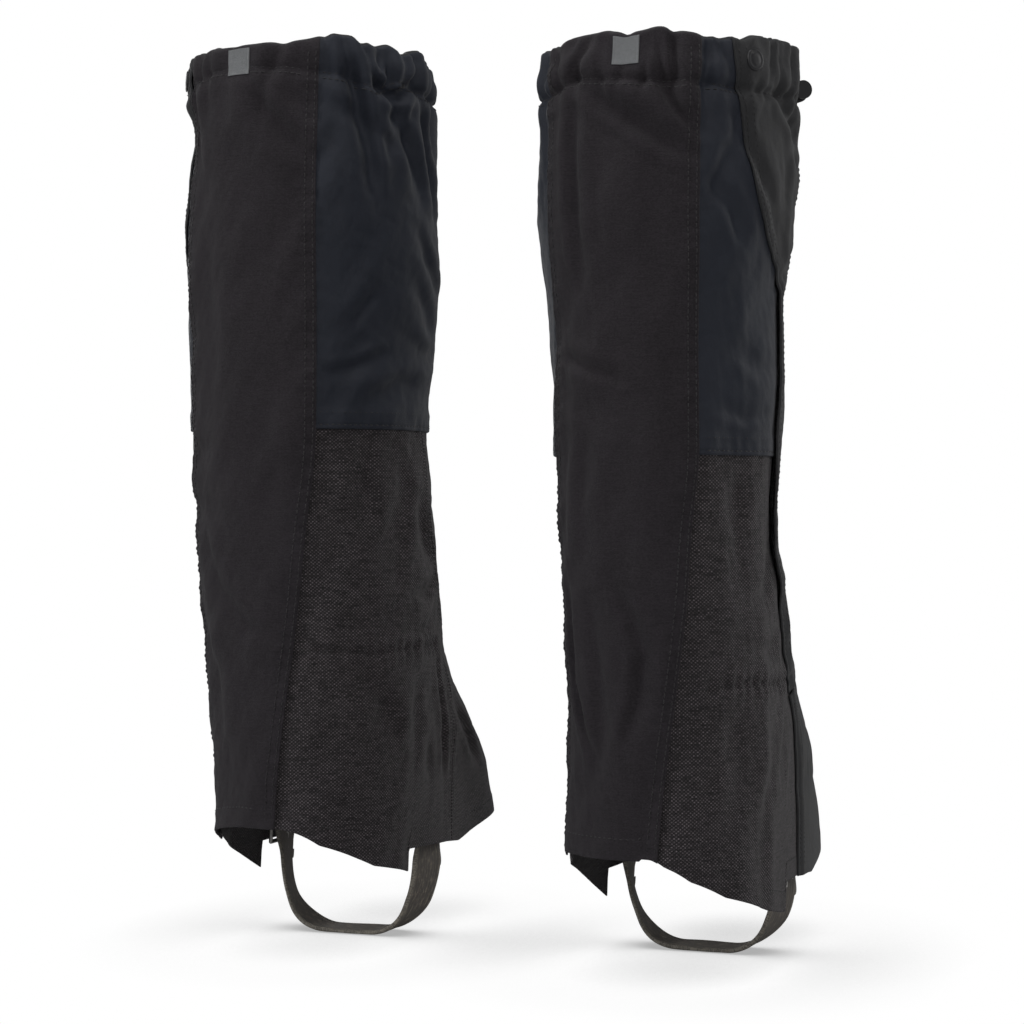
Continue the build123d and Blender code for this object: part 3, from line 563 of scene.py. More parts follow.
def stitches(name, g, runs, mat, body, pitch=3.3, length=2.5, r=0.3):
    """Thread: short rounded bars along runs of (t array, z array, offset)."""
    V, F = [], []
    prof = [(-1, 0.15), (-0.72, 0.85), (-0.2, 1.0), (0.2, 1.0), (0.72, 0.85), (1, 0.15)]
    base = 0
    for t, z, off in runs:
        t, z = np.asarray(t, float), np.asarray(z, float)
        L = np.concatenate([[0], np.cumsum(np.hypot(np.diff(t), np.diff(z)))])
        k = int(L[-1] / pitch)
        if k < 1:
            continue
        mid = (np.arange(k) + 0.5) * pitch
        u = np.stack([mid + p[0] * length / 2 for p in prof], 1)           # k x 6
        dip = np.array([-0.30, -0.05, 0.10, 0.10, -0.05, -0.30])[None, :]
        tt, zz = np.interp(u, L, t), np.interp(u, L, z)
        lift = np.interp(u, L, np.broadcast_to(off, L.shape)) + dip
        c = cloth(g, tt, zz, lift)
        up = cloth(g, tt, zz, lift + 1.0) - c
        up /= np.linalg.norm(up, axis=-1, keepdims=True)
        ax = c[:, -1:] - c[:, :1]
        ax = ax / np.linalg.norm(ax, axis=-1, keepdims=True)
        sd = np.cross(np.broadcast_to(ax, up.shape), up)
        sd /= np.linalg.norm(sd, axis=-1, keepdims=True)
        rad = np.array([p[1] for p in prof])[None, :, None] * r * MM
        ang = np.arange(6) * math.pi / 3
        ringv = c[:, :, None, :] + rad[..., None] * (np.cos(ang)[None, None, :, None] * sd[:, :, None, :] + np.sin(ang)[None, None, :, None] * up[:, :, None, :])
        V.append(ringv.reshape(-1, 3))
        a = np.arange(5)[:, None] * 6 + np.arange(6)[None, :]
        b = np.arange(5)[:, None] * 6 + (np.arange(6)[None, :] + 1) % 6
        q = np.stack([a, b, b + 6, a + 6], -1).reshape(-1, 4)
        caps = np.array([[0, 5, 4, 3], [0, 3, 2, 1], [30, 31, 32, 33], [30, 33, 34, 35]])
        one = np.concatenate([q, caps])
        F.append((one[None] + (base + np.arange(k) * 36)[:, None, None]).reshape(-1, 4))
        base += k * 36
    ob = new_mesh(name, np.concatenate(V), np.concatenate(F), [mat])
    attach(ob, body)
    return ob


def tube(name, pts, radius, mat, body, nodes=(), sides=12, closed=False, twist=0.0, squash=1.0):
    """Round or oval tube along points (metres)."""
    P = np.asarray(pts, float)
    tan = np.gradient(P, axis=0)
    tan /= np.linalg.norm(tan, axis=1)[:, None]
    up = np.cross(tan[0], [0, 0, 1.0])
    if np.linalg.norm(up) < 1e-3:
        up = np.cross(tan[0], [0, 1.0, 0])
    up /= np.linalg.norm(up)
    frames = []
    for k in range(len(P)):
        up = up - tan[k] * (up @ tan[k])
        up /= np.linalg.norm(up)
        frames.append((up.copy(), np.cross(tan[k], up)))
    V = []
    for k in range(len(P)):
        a = np.arange(sides) / sides * 2 * math.pi + twist * k
        rr = radius[k] if np.ndim(radius) else radius
        V.append(P[k] + rr * (np.cos(a)[:, None] * frames[k][0] + squash * np.sin(a)[:, None] * frames[k][1]))
    V = np.concatenate(V)
    F = []
    n = len(P)
    for k in range(n - 1):
        for s in range(sides):
            b = (s + 1) % sides
            F.append([k * sides + s, k * sides + b, (k + 1) * sides + b, (k + 1) * sides + s])
    V = np.concatenate([V, P[:1], P[-1:]])
    c0, c1 = n * sides, n * sides + 1
    for s in range(sides):
        b = (s + 1) % sides
        F.append([c0, b, s])
        F.append([c1, (n - 1) * sides + s, (n - 1) * sides + b])
    ob = new_mesh(name, V, F, [mat])
    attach(ob, body)
    if nodes:
        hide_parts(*nodes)
    return ob


def profile_sweep(name, g, t0, t1, prof, mat, body, nodes=(), closed=True):
    """A closed (offset, height) section carried along the cloth from arc t0 to t1."""
    prof = np.array(prof, float)
    t = np.linspace(t0, t1, max(2, int(abs(t1 - t0) / STEP)))
    K = len(prof)
    T = np.repeat(t[:, None], K, 1)
    P = cloth(g, T, np.broadcast_to(prof[:, 1], T.shape), np.broadcast_to(prof[:, 0], T.shape))
    F = []
    n = len(t)
    i, j = np.meshgrid(np.arange(n - 1), np.arange(K), indexing="ij")
    a, b = i * K + j, i * K + (j + 1) % K
    q = np.stack([a, b, b + K, a + K], -1).reshape(-1, 4).tolist()
    q.append(list(range(K))[::-1])
    q.append([(n - 1) * K + k for k in range(K)])
    cum = np.concatenate([[0], np.cumsum(np.hypot(*np.diff(prof, axis=0).T))])
    ob = new_mesh(name, P.reshape(-1, 3), q, [mat], np.stack([T, np.broadcast_to(cum, T.shape)], -1).reshape(-1, 2))
    outward(ob)
    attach(ob, body)
    if nodes:
        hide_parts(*nodes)
    return ob


def outward(ob):
    bm = bmesh.new()
    bm.from_mesh(ob.data)
    bmesh.ops.recalc_face_normals(bm, faces=bm.faces)
    bm.to_mesh(ob.data)
    bm.free()


def frame_at(g, t, z, off):
    """Origin, outward normal and tangent on the worn cloth (metres)."""
    o = cloth(g, t, z, off)
    e = cloth(g, t + 1.0, z, off) - cloth(g, t - 1.0, z, off)
    v = cloth(g, t, z + 1.0, off) - cloth(g, t, z - 1.0, off)
    e /= np.linalg.norm(e)
    n = np.cross(e, v)
    n /= np.linalg.norm(n)
    out = cloth(g, t, z, off + 1.0) - o
    if n @ out < 0:
        n = -n
    return o, n, e


def turned(name, o, n, prof, mat, body, nodes=(), sides=40):
    """Solid of revolution: (radius, height) in mm about axis n at o (metres)."""
    n = np.asarray(n, float) / np.linalg.norm(n)
    u = np.cross(n, [0, 0, 1.0])
    if np.linalg.norm(u) < 1e-3:
        u = np.cross(n, [1.0, 0, 0])
    u /= np.linalg.norm(u)
    w = np.cross(n, u)
    a = np.arange(sides) / sides * 2 * math.pi
    V, F = [], []
    for r, h in prof:
        V.append(o + MM * (max(r, 1e-3) * (np.cos(a)[:, None] * u + np.sin(a)[:, None] * w) + h * n))
    K = len(prof)
    for k in range(K - 1):
        for s_ in range(sides):
            b = (s_ + 1) % sides
            F.append([k * sides + s_, k * sides + b, (k + 1) * sides + b, (k + 1) * sides + s_])
    F.append(list(range(sides))[::-1])
    F.append([(K - 1) * sides + s_ for s_ in range(sides)])
    ob = new_mesh(name, np.concatenate(V), F, [mat])
    outward(ob)
    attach(ob, body)
    if nodes:
        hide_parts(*nodes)
    return ob


# ------------------------------------------------------------------ materials
def lin(r, g, b):
    return tuple((c / 255 / 12.92 if c / 255 <= 0.04045 else ((c / 255 + 0.055) / 1.055) ** 2.4) for c in (r, g, b)) + (1.0,)


class Net:
    """Small helper that wires shader nodes."""

    def __init__(self, name):
        self.mat = bpy.data.materials.new(name)
        self.mat.use_nodes = True
        self.nt = self.mat.node_tree
        self.bsdf = self.nt.nodes["Principled BSDF"]

    def node(self, kind, **kw):
        n = self.nt.nodes.new(kind)
        for k, v in kw.items():
            setattr(n, k, v)
        return n

    def put(self, sock, val):
        if hasattr(val, "is_output"):
            self.nt.links.new(val, sock)
        else:
            sock.default_value = val

    def math(self, op, a, b=None, c=None):
        n = self.node("ShaderNodeMath", operation=op)
        self.put(n.inputs[0], a)
        if b is not None:
            self.put(n.inputs[1], b)
        if c is not None:
            self.put(n.inputs[2], c)
        return n.outputs[0]

    def uv(self):
        n = self.node("ShaderNodeUVMap", uv_map="UVMap")
        s_ = self.node("ShaderNodeSeparateXYZ")
        self.put(s_.inputs[0], n.outputs[0])
        return s_.outputs[0], s_.outputs[1]

    def obj(self):
        n = self.node("ShaderNodeTexCoord")
        s_ = self.node("ShaderNodeSeparateXYZ")
        self.put(s_.inputs[0], n.outputs["Object"])
        return [self.math("MULTIPLY", o, 1000.0) for o in s_.outputs]

    def vec(self, x, y, z=0.0):
        n = self.node("ShaderNodeCombineXYZ")
        for i, v in enumerate((x, y, z)):
            self.put(n.inputs[i], v)
        return n.outputs[0]

    def noise(self, vec, scale, detail=2.0, rough=0.5):
        n = self.node("ShaderNodeTexNoise")
        self.put(n.inputs["Vector"], vec)
        n.inputs["Scale"].default_value = scale
        n.inputs["Detail"].default_value = detail
        n.inputs["Roughness"].default_value = rough
        return n.outputs[0]

    def white(self, vec):
        n = self.node("ShaderNodeTexWhiteNoise", noise_dimensions="2D")
        self.put(n.inputs["Vector"], vec)
        return n.outputs["Value"]

    def remap(self, v, a, b, c, d):
        n = self.node("ShaderNodeMapRange")
        for i, x in enumerate((v, a, b, c, d)):
            self.put(n.inputs[i], x)
        return n.outputs[0]

    def tint(self, col, factor):
        """col times a grey factor."""
        n = self.node("ShaderNodeMix", data_type="RGBA", blend_type="MULTIPLY")
        n.inputs[0].default_value = 1.0
        self.put(n.inputs[6], col)
        c = self.node("ShaderNodeCombineColor")
        for i in range(3):
            self.put(c.inputs[i], factor)
        self.put(n.inputs[7], c.outputs[0])
        return n.outputs[2]

    def mix(self, f, a, b):
        n = self.node("ShaderNodeMix", data_type="RGBA")
        self.put(n.inputs[0], f)
        self.put(n.inputs[6], a)
        self.put(n.inputs[7], b)
        return n.outputs[2]

    def finish(self, color=None, rough=0.8, spec=0.3, sheen=0.0, metal=0.0, height=None, strength=1.0, dist=0.0003, coat=0.0, sheen_rough=0.5):
        b = self.bsdf
        if color is not None:
            self.put(b.inputs["Base Color"], color)
        self.put(b.inputs["Roughness"], rough)
        self.put(b.inputs["Metallic"], metal)
        self.put(b.inputs["Specular IOR Level"], spec)
        self.put(b.inputs["Sheen Weight"], sheen)
        self.put(b.inputs["Sheen Roughness"], sheen_rough)
        self.put(b.inputs["Coat Weight"], coat)
        if height is not None:
            n = self.node("ShaderNodeBump")
            n.inputs["Strength"].default_value = strength
            n.inputs["Distance"].default_value = dist
            self.put(n.inputs["Height"], height)
            self.put(b.inputs["Normal"], n.outputs[0])
        return self.mat


def weave(net, u, v, pu, pv):
    a = net.math("SINE", net.math("MULTIPLY", u, 2 * math.pi / pu))
    b = net.math("SINE", net.math("MULTIPLY", v, 2 * math.pi / pv))
    return net.math("MULTIPLY", a, b)


def cell(net, u, v, pu, pv):
    return net.white(net.vec(net.math("FLOOR", net.math("DIVIDE", u, pu)), net.math("FLOOR", net.math("DIVIDE", v, pv))))


def add(net, *terms):
    out = None
    for t, k in terms:
        x = net.math("MULTIPLY", t, k)
        out = x if out is None else net.math("ADD", out, x)
    return out


GAIN = 1.0


def shade(r, g, b, k=1.0):
    c = lin(r, g, b)
    return tuple(x * k * GAIN for x in c[:3]) + (1.0,)


MAT = {}


def make_materials():
    # back panel: dull softshell, fine cross threads and slubs
    n = Net("back_weave")
    u, v = n.uv()
    slub = n.noise(n.vec(n.math("MULTIPLY", u, 0.10), n.math("MULTIPLY", v, 1.15)), 1.0, 3.0, 0.6)
    slub2 = n.noise(n.vec(n.math("MULTIPLY", u, 0.9), n.math("MULTIPLY", v, 0.12), 7.0), 1.0, 2.0, 0.6)
    grain = cell(n, u, v, 0.85, 0.55)
    soft = n.noise(n.vec(u, v, 3.0), 0.025, 3.0, 0.55)
    f = n.math("ADD", 0.20, add(n, (slub, 0.62), (slub2, 0.26), (grain, 0.40), (soft, 0.34)))
    h = n.math("ADD", weave(n, u, v, 0.9, 0.62), n.math("ADD", n.math("MULTIPLY", slub, 1.6), n.math("MULTIPLY", grain, 0.7)))
    MAT["back"] = n.finish(n.tint(shade(46, 42, 46), f), 0.88, 0.22, 0.10, height=h, strength=0.75, dist=0.00012)
    # side panels above: smooth coated nylon
    n = Net("navy_nylon")
    u, v = n.uv()
    soft = n.noise(n.vec(u, v, 1.0), 0.03, 3.0, 0.55)
    grain = cell(n, u, v, 0.6, 0.6)
    crinkle = n.noise(n.vec(u, v, 4.0), 0.22, 4.0, 0.6)
    f = n.math("ADD", 0.66, add(n, (soft, 0.34), (grain, 0.14), (crinkle, 0.2)))
    h = n.math("ADD", n.math("MULTIPLY", crinkle, 3.0), n.math("MULTIPLY", weave(n, u, v, 0.5, 0.5), 0.3))
    MAT["navy"] = n.finish(n.tint(shade(33, 37, 48), f), 0.62, 0.34, 0.10, height=h, strength=0.7, dist=0.00014)
    # lower panels: coarse basket weave, strongly speckled; the speckle sits on the raised weave crests, so it is random
    # yarn tone and a painted highlight on the crests
    n = Net("coarse_nylon")
    u, v = n.uv()
    wob = n.noise(n.vec(u, v, 2.0), 0.15, 2.0)
    uu = n.math("ADD", u, n.math("MULTIPLY", wob, 0.9))
    vv = n.math("ADD", v, n.math("MULTIPLY", wob, 0.7))
    w = weave(n, uu, vv, 2.2, 1.9)
    spot = n.math("MAXIMUM", w, 0.0)
    warp = cell(n, uu, vv, 1.1, 0.95)
    weft = cell(n, uu, n.math("ADD", vv, 31.35), 5.5, 0.95)
    soft = n.noise(n.vec(u, v, 5.0), 0.03, 3.0, 0.6)
    # painted highlight: the raised weave crests are made lighter in the colour, scaled by random speckle per yarn
    crest_highlight_speckle = n.math("MULTIPLY", spot, n.math("ADD", 0.10, n.math("ADD", n.math("MULTIPLY", warp, 1.7), n.math("MULTIPLY", weft, 1.5))))
    f = n.math("ADD", 0.22, add(n, (crest_highlight_speckle, 2.0), (warp, 0.14), (weft, 0.34), (soft, 0.42)))
    h = n.math("ADD", n.math("MULTIPLY", w, 1.0), n.math("MULTIPLY", n.math("ADD", warp, weft), 0.6))
    MAT["coarse_nylon"] = n.finish(n.tint(shade(48, 44, 46), f), 0.78, 0.32, 0.12, height=h, strength=1.0, dist=0.00020)
    # flaps: plain black coated nylon
    n = Net("flap_nylon")
    u, v = n.uv()
    soft = n.noise(n.vec(u, v, 8.0), 0.035, 3.0, 0.55)
    grain = cell(n, u, v, 0.75, 0.6)
    crinkle = n.noise(n.vec(u, v, 9.0), 0.25, 4.0, 0.6)
    f = n.math("ADD", 0.56, add(n, (soft, 0.42), (grain, 0.24), (crinkle, 0.2)))
    h = n.math("ADD", n.math("MULTIPLY", crinkle, 2.6), n.math("MULTIPLY", weave(n, u, v, 0.8, 0.7), 0.5))
    MAT["flap"] = n.finish(n.tint(shade(43, 43, 45), f), 0.66, 0.34, 0.10, height=h, strength=0.75, dist=0.00015)
    # sewing thread
    n = Net("thread")
    x, y, z = n.obj()
    r = n.noise(n.vec(x, y, z), 2.2, 2.0)
    MAT["thread"] = n.finish(n.tint(shade(40, 38, 40), n.math("ADD", 0.5, n.math("MULTIPLY", r, 1.0))), 0.62, 0.35, 0.2)
    # hook and loop: dense short pile; the colour lightens where the pile rises, a painted highlight on the pile tips
    n = Net("hook_loop")
    u, v = n.uv()
    p = n.node("ShaderNodeTexVoronoi")
    n.put(p.inputs["Vector"], n.vec(u, v))
    p.inputs["Scale"].default_value = 1.25
    MAT["hook"] = n.finish(n.tint(shade(34, 34, 36), n.math("SUBTRACT", 1.4, p.outputs["Distance"])), 0.95, 0.15, 0.4, height=n.math("MULTIPLY", p.outputs["Distance"], -1.0), strength=1.0, dist=0.0004)
    # braided cord; the colour lightens on the braid ridges, a painted highlight on the raised strands
    n = Net("cord")
    u, v = n.uv()
    a = n.math("SINE", n.math("ADD", n.math("MULTIPLY", u, 4.2), n.math("MULTIPLY", v, 6.2832)))
    b = n.math("SINE", n.math("SUBTRACT", n.math("MULTIPLY", u, 4.2), n.math("MULTIPLY", v, 6.2832)))
    hh = n.math("MAXIMUM", a, b)
    MAT["cord"] = n.finish(n.tint(shade(46, 46, 48), n.math("ADD", 0.85, n.math("MULTIPLY", hh, 0.3))), 0.75, 0.3, 0.2, height=hh, strength=1.0, dist=0.0003)
    # ribbed elastic; the rib crests are painted lighter, a painted highlight
    n = Net("elastic")
    u, v = n.uv()
    rib = n.math("SINE", n.math("MULTIPLY", v, 2 * math.pi / 1.6))
    MAT["elastic"] = n.finish(n.tint(shade(60, 60, 62), n.math("ADD", 0.9, n.math("MULTIPLY", rib, 0.2))), 0.8, 0.3, 0.2, height=rib, strength=0.8, dist=0.0003)
    # instep strap: rubber-coated webbing, scuffed
    n = Net("strap")
    u, v = n.uv()
    scuff = n.noise(n.vec(n.math("MULTIPLY", u, 0.5), n.math("MULTIPLY", v, 0.16)), 1.0, 5.0, 0.7)
    fine = n.noise(n.vec(u, v, 2.0), 1.4, 3.0, 0.6)
    edge = n.remap(n.math("ABSOLUTE", u), 9.6, 12.3, 0.0, 1.0)
    low = n.remap(v, 20.0, 75.0, 0.0, 1.0)
    worn = n.math("MULTIPLY", n.remap(scuff, 0.50, 0.68, 0.0, 1.0), n.math("ADD", 0.35, n.math("MULTIPLY", low, 0.65)))
    c1 = n.mix(worn, shade(102, 97, 92), shade(160, 151, 137))
    c2 = n.mix(n.math("MULTIPLY", edge, n.remap(fine, 0.42, 0.6, 0.1, 0.8)), c1, shade(168, 162, 150))
    c3 = n.mix(n.remap(scuff, 0.36, 0.28, 0.0, 0.6), c2, shade(58, 54, 52))
    ribs = n.math("SINE", n.math("MULTIPLY", u, 2 * math.pi / 2.6))
    hh = n.math("ADD", n.math("MULTIPLY", ribs, 0.35), n.math("ADD", n.math("MULTIPLY", fine, 1.2), scuff))
    MAT["strap"] = n.finish(c3, n.remap(scuff, 0.3, 0.7, 0.5, 0.8), 0.42, 0.0, height=hh, strength=0.7, dist=0.0003)
    n = Net("strap_tape")
    x, y, z = n.obj()
    r = n.noise(n.vec(x, y, z), 0.8, 4.0, 0.6)
    MAT["tape"] = n.finish(n.tint(shade(118, 114, 108), n.math("ADD", 0.55, n.math("MULTIPLY", r, 0.9))), 0.8, 0.3, 0.2, height=r, strength=0.6, dist=0.0003)
    # woven webbing; the colour lightens on the weave crests, a painted highlight
    n = Net("webbing")
    x, y, z = n.obj()
    hh = n.math("MULTIPLY", n.math("SINE", n.math("MULTIPLY", y, 2 * math.pi / 1.4)), n.math("SINE", n.math("MULTIPLY", z, 2 * math.pi / 1.0)))
    MAT["webbing"] = n.finish(n.tint(shade(50, 48, 48), n.math("ADD", 0.9, n.math("MULTIPLY", hh, 0.25))), 0.85, 0.25, 0.2, height=hh, strength=1.0, dist=0.0003)
    # nickel, used dull
    n = Net("nickel")
    x, y, z = n.obj()
    r = n.noise(n.vec(x, y, z), 0.35, 5.0, 0.65)
    s_ = n.noise(n.vec(n.math("MULTIPLY", x, 5.0), y, z), 1.2, 2.0)
    MAT["metal"] = n.finish(n.mix(n.remap(r, 0.45, 0.7, 0.0, 0.7), (0.46, 0.45, 0.43, 1), (0.22, 0.20, 0.18, 1)), n.remap(n.math("ADD", r, s_), 0.6, 1.4, 0.26, 0.5), 0.5, 0.0, 1.0, height=s_, strength=0.12, dist=0.0002)
    n = Net("black_lacquer")
    x, y, z = n.obj()
    r = n.noise(n.vec(x, y, z), 0.5, 4.0, 0.6)
    MAT["black_metal"] = n.finish(n.mix(n.remap(r, 0.56, 0.72, 0.0, 0.8), shade(38, 38, 41), shade(82, 80, 78)), n.remap(r, 0.3, 0.7, 0.34, 0.55), 0.5, 0.0, 0.0, height=r, strength=0.1, dist=0.0002)
    n = Net("moulded_plastic")
    x, y, z = n.obj()
    r = n.noise(n.vec(x, y, z), 2.0, 3.0, 0.6)
    MAT["plastic"] = n.finish(n.tint(shade(36, 36, 38), n.math("ADD", 0.8, n.math("MULTIPLY", r, 0.4))), n.remap(r, 0.3, 0.7, 0.42, 0.56), 0.45, height=r, strength=0.15, dist=0.0002)
    # plain woven tab; its weave crests are painted a little lighter, a painted highlight, over a random tone variation
    n = Net("label")
    u, v = n.uv()
    w = weave(n, u, v, 0.7, 0.5)
    r = n.noise(n.vec(u, v), 0.5, 3.0)
    MAT["label"] = n.finish(n.tint(shade(138, 140, 142), n.math("ADD", 0.8, n.math("ADD", n.math("MULTIPLY", w, 0.12), n.math("MULTIPLY", r, 0.35)))), 0.75, 0.3, 0.2, height=w, strength=0.8, dist=0.0002)


make_materials()


# ------------------------------------------------------------------ pieces
def const(v):
    return lambda z: np.asarray(z, float) * 0 + v


def stitch_z(g, t, z=None):
    H = half(g, 500.0)
    tt = ((np.asarray(t, float) + H) % (2 * H)) - H
    return np.interp(tt, *STITCH_Z[g])


def along(g, t, up, edge):
    """Heights a fixed distance above the bottom edge, at arcs t."""
    z = np.full(len(t), 60.0)
    for _ in range(60):
        z = z + 0.4 * (edge(t, z) - z)
    return z + up


def build(g):
    q = GAITERS[g]
    lap = q["lap_z"]
    si = lambda z: lut(q["seam_in"], z)
    so = lambda z: -lut(q["seam_out"], z)
    Hf = lambda z: half(g, z)
    toe = lambda z: lut([(30, 163), (150, 160), (205, 140), (262, 118), (320, 114)], z)
    low_edge = lambda z: -lut([(30, 156), (150, 150), (205, 128), (262, 113), (320, 111)], z)
    shell, flap, wing, low = f"{g}_shell", f"{g}_flap", f"{g}_wing", f"{g}_low_flap"
    N = lambda *a: [f"{g}_{x}" for x in a]
    V = lambda n: f"{g}_vis_{n}"
    hem = hem_edge(g)
    hemsew = dict(rows=(11.5,), lift=0.30, band=12.8)
    vis_edge = lambda z: lut([(80, 149), (150, 143), (175, 131), (205, 117), (250, 105), (374, 104.5), (384, 103), (392, 97.5), (405, 86), (423, 76), (440, 74 if g == "left" else 71), (472, 70 if g == "left" else 64), (486, 61), (516, 60 if g == "left" else 57)], z)

    # side panels, lower ones first
    panel(V("inner_lower"), g, lambda z: si(z) - 11, toe, hem, lap + 13, -1.0, 0.0, [MAT["coarse_nylon"]], shell, N("inner_lower_panel"), e1=dict(rows=(2.4,), lift=0.3, band=4.6), eb=hemsew)
    panel(V("outer_lower"), g, low_edge, lambda z: so(z) + 11, hem, lap + 13, -1.0, 0.0, [MAT["coarse_nylon"]], shell, N("outer_lower_panel"), eb=hemsew)
    panel(V("inner_toe"), g, lambda z: toe(z) + 0.3, lambda z: 0.955 * Hf(z), hem, lap + 13, -1.0, 0.0, [MAT["coarse_nylon"]], shell, N("inner_toe_panel"), e0=dict(rows=(2.4,), lift=0.3, band=4.6), eb=hemsew)
    panel(V("inner_upper"), g, lambda z: si(z) - 11, lambda z: 0.955 * Hf(z), lap, TOP_Z, 0.15, 1.15, [MAT["navy"]], shell, N("inner_upper_panel"), eb=dict(rows=(2.4, 9.4), lift=0.34, band=11.2))
    panel(V("outer_upper"), g, const(-112.0), lambda z: so(z) + 11, lap, TOP_Z, 0.15, 1.15, [MAT["navy"]], shell, N("outer_upper_panel"), eb=dict(rows=(2.4, 9.4), lift=0.34, band=11.2))
    panel(V("back"), g, so, si, hem, TOP_Z, 1.3, 2.3, [MAT["back"]], shell, N("back_panel"), e0=dict(), e1=dict(), eb=hemsew)
    # underlap behind the front opening, in its lower and upper runs
    lo_u, _ = panel(V("underlap_low"), g, lambda z: -0.99 * Hf(z), lambda z: low_edge(z) - 0.3, hem, lap + 13, -1.0, 0.0, [MAT["flap"]], shell, N("underlap"), eb=hemsew)
    panel(V("underlap_high"), g, lambda z: -0.99 * Hf(z), const(-112.3), lap + 13.2, TOP_Z, -1.0, 0.0, [MAT["flap"]], shell, [])

    # drawcord channel, cord, ankle elastic
    H5 = float(half(g, 504.0))
    roll = [(-0.8, 512), (-0.85, 514), (-1.2, 515), (-2.0, 515.7), (-3.0, 515.7), (-3.9, 514.9), (-4.4, 513.4), (-4.5, 510), (-4.5, 502), (-4.5, 491.3), (-4.7, 491.0), (-5.2, 491.0), (-5.4, 491.3), (-5.4, 502), (-5.4, 510), (-5.3, 514), (-4.5, 515.9), (-3.1, 516.9), (-1.7, 516.8), (-0.5, 515.6), (0.05, 514), (0.08, 512)]
    profile_sweep(V("hem_channel"), g, -0.94 * H5, 0.91 * H5, roll, MAT["flap"], shell, N("top_hem"))
    circ = [(-2.75 + CORD_R * math.cos(a), 506 + CORD_R * math.sin(a)) for a in np.arange(14) / 14 * 2 * math.pi]
    profile_sweep(V("drawcord"), g, -0.93 * H5, 0.90 * H5, circ, MAT["cord"], shell, N("drawcord"))
    panel(V("ankle_elastic_in"), g, lambda z: si(z) + 2, lambda z: toe(z) - 8, 168.0, 188.0, -2.3, -1.3, [MAT["elastic"]], shell, N("ankle_elastic"))
    panel(V("ankle_elastic_out"), g, const(-120.0), lambda z: so(z) - 2, 168.0, 188.0, -2.3, -1.3, [MAT["elastic"]], shell, [])

    # hook and loop
    e_in = lambda z: -lut(FLAP_EDGE, z)
    panel(V("loop_high"), g, lambda z: e_in(z) - 32, lambda z: e_in(z) - 8, 212.0, 472.0, 1.3, 2.2, [MAT["hook"]], shell, N("loop_strip"))
    panel(V("loop_low"), g, lambda z: e_in(z) - 30, lambda z: e_in(z) - 6, 72.0, 150.0, 0.2, 0.95, [MAT["hook"]], shell, [])
    panel(V("hook_high"), g, lambda z: e_in(z) - 32, lambda z: e_in(z) - 8, 212.0, 472.0, 2.35, 3.35, [MAT["hook"]], flap, N("hook_strip"))
    panel(V("hook_low"), g, lambda z: e_in(z) - 30, lambda z: e_in(z) - 6, 72.0, 150.0, 1.1, 1.9, [MAT["hook"]], low, N("lower_hook_strip"))

    # the plane that parts the two flaps, square to the lower flap's hinge line
    P = lambda t, z, o: np.array([float(c) for c in (local(g, t, z)[0] + local(g, t, z)[2] * o, local(g, t, z)[1] + local(g, t, z)[3] * o)] + [z])
    pa, pb = P(0.925 * float(Hf(76)), 76.0, 2.6), P(0.925 * float(Hf(196)), 196.0, 2.6)
    ax = (pb - pa) / np.linalg.norm(pb - pa)

    def split(d):
        def f(t, z):
            x, y = local(g, t, z)[:2]
            return pb[2] + (d - ax[0] * (x - pb[0]) - ax[1] * (y - pb[1])) / ax[2]
        f.start = 180.0
        return f

    base = 1.55

    def flap_in(t, z):
        """Inner face of the flap: over the tape, then down onto the panel at its edge."""
        t2 = 2 * Hf(z) - t                        # arc from the back on the outer side
        edge = 0.45 + 1.10 * sstep(z, lap - 5, lap + 4)     # below the lap seam the panel lies deeper
        e0 = np.minimum(lut(FLAP_EDGE, z) + 1.0, 99.0)
        off = edge + (3.5 - edge) * sstep(t2, e0, np.maximum(e0 + 7.5, 107.0 * sstep(z, lap - 5, lap + 4)))
        stud = np.exp(-(((t2 - 70) / 9.5) ** 2 + ((z - 503) / 9.5) ** 2) ** 2)
        off = np.maximum(off, base + (3.15 - base) * np.clip(stud * 1.2, 0, 1))
        under = sstep(z, 200, 240)                 # below the tape the edge lies closer
        return off * under + (1 - under) * (0.45 + 3.05 * sstep(t2, lut(FLAP_EDGE, z) + 1, lut(FLAP_EDGE, z) + 9))

    root = lambda z: 0.925 * Hf(z)
    ob, _ = panel(V("flap"), g, root, lambda z: 2 * Hf(z) - vis_edge(z), split(0.7), TOP_Z, flap_in, lambda t, z: flap_in(t, z) + 1.0, [MAT["flap"]], None, N("front_flap", "flap_wing"),
                  e1=dict(rows=(2.6, 7.0), lift=0.3, band=8.6), eb=dict(rows=(3.0,), lift=0.25, band=4.5))
    HH = float(Hf(450.0))
    [float(c) for c in cloth(g, 2 * HH - 111.5, 450.0, 3.5)]
    [float(c) for c in cloth(g, 2 * HH - 97.0, 450.0, 3.5)]
    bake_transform(ob)

    def low_in(t, z):
        t2 = 2 * Hf(z) - t
        e = lut(FLAP_EDGE, z)
        return 0.35 + 1.75 * sstep(t2, e + 0.5, e + 6.0)

    panel(V("low_flap"), g, root, lambda z: 2 * Hf(z) - lut(FLAP_EDGE, z), hem, split(-0.9), low_in, lambda t, z: low_in(t, z) + 1.0, [MAT["flap"]], low, N("lower_flap"),
          e1=dict(rows=(2.6, 7.0), lift=0.3, band=8.6), eb=hemsew)
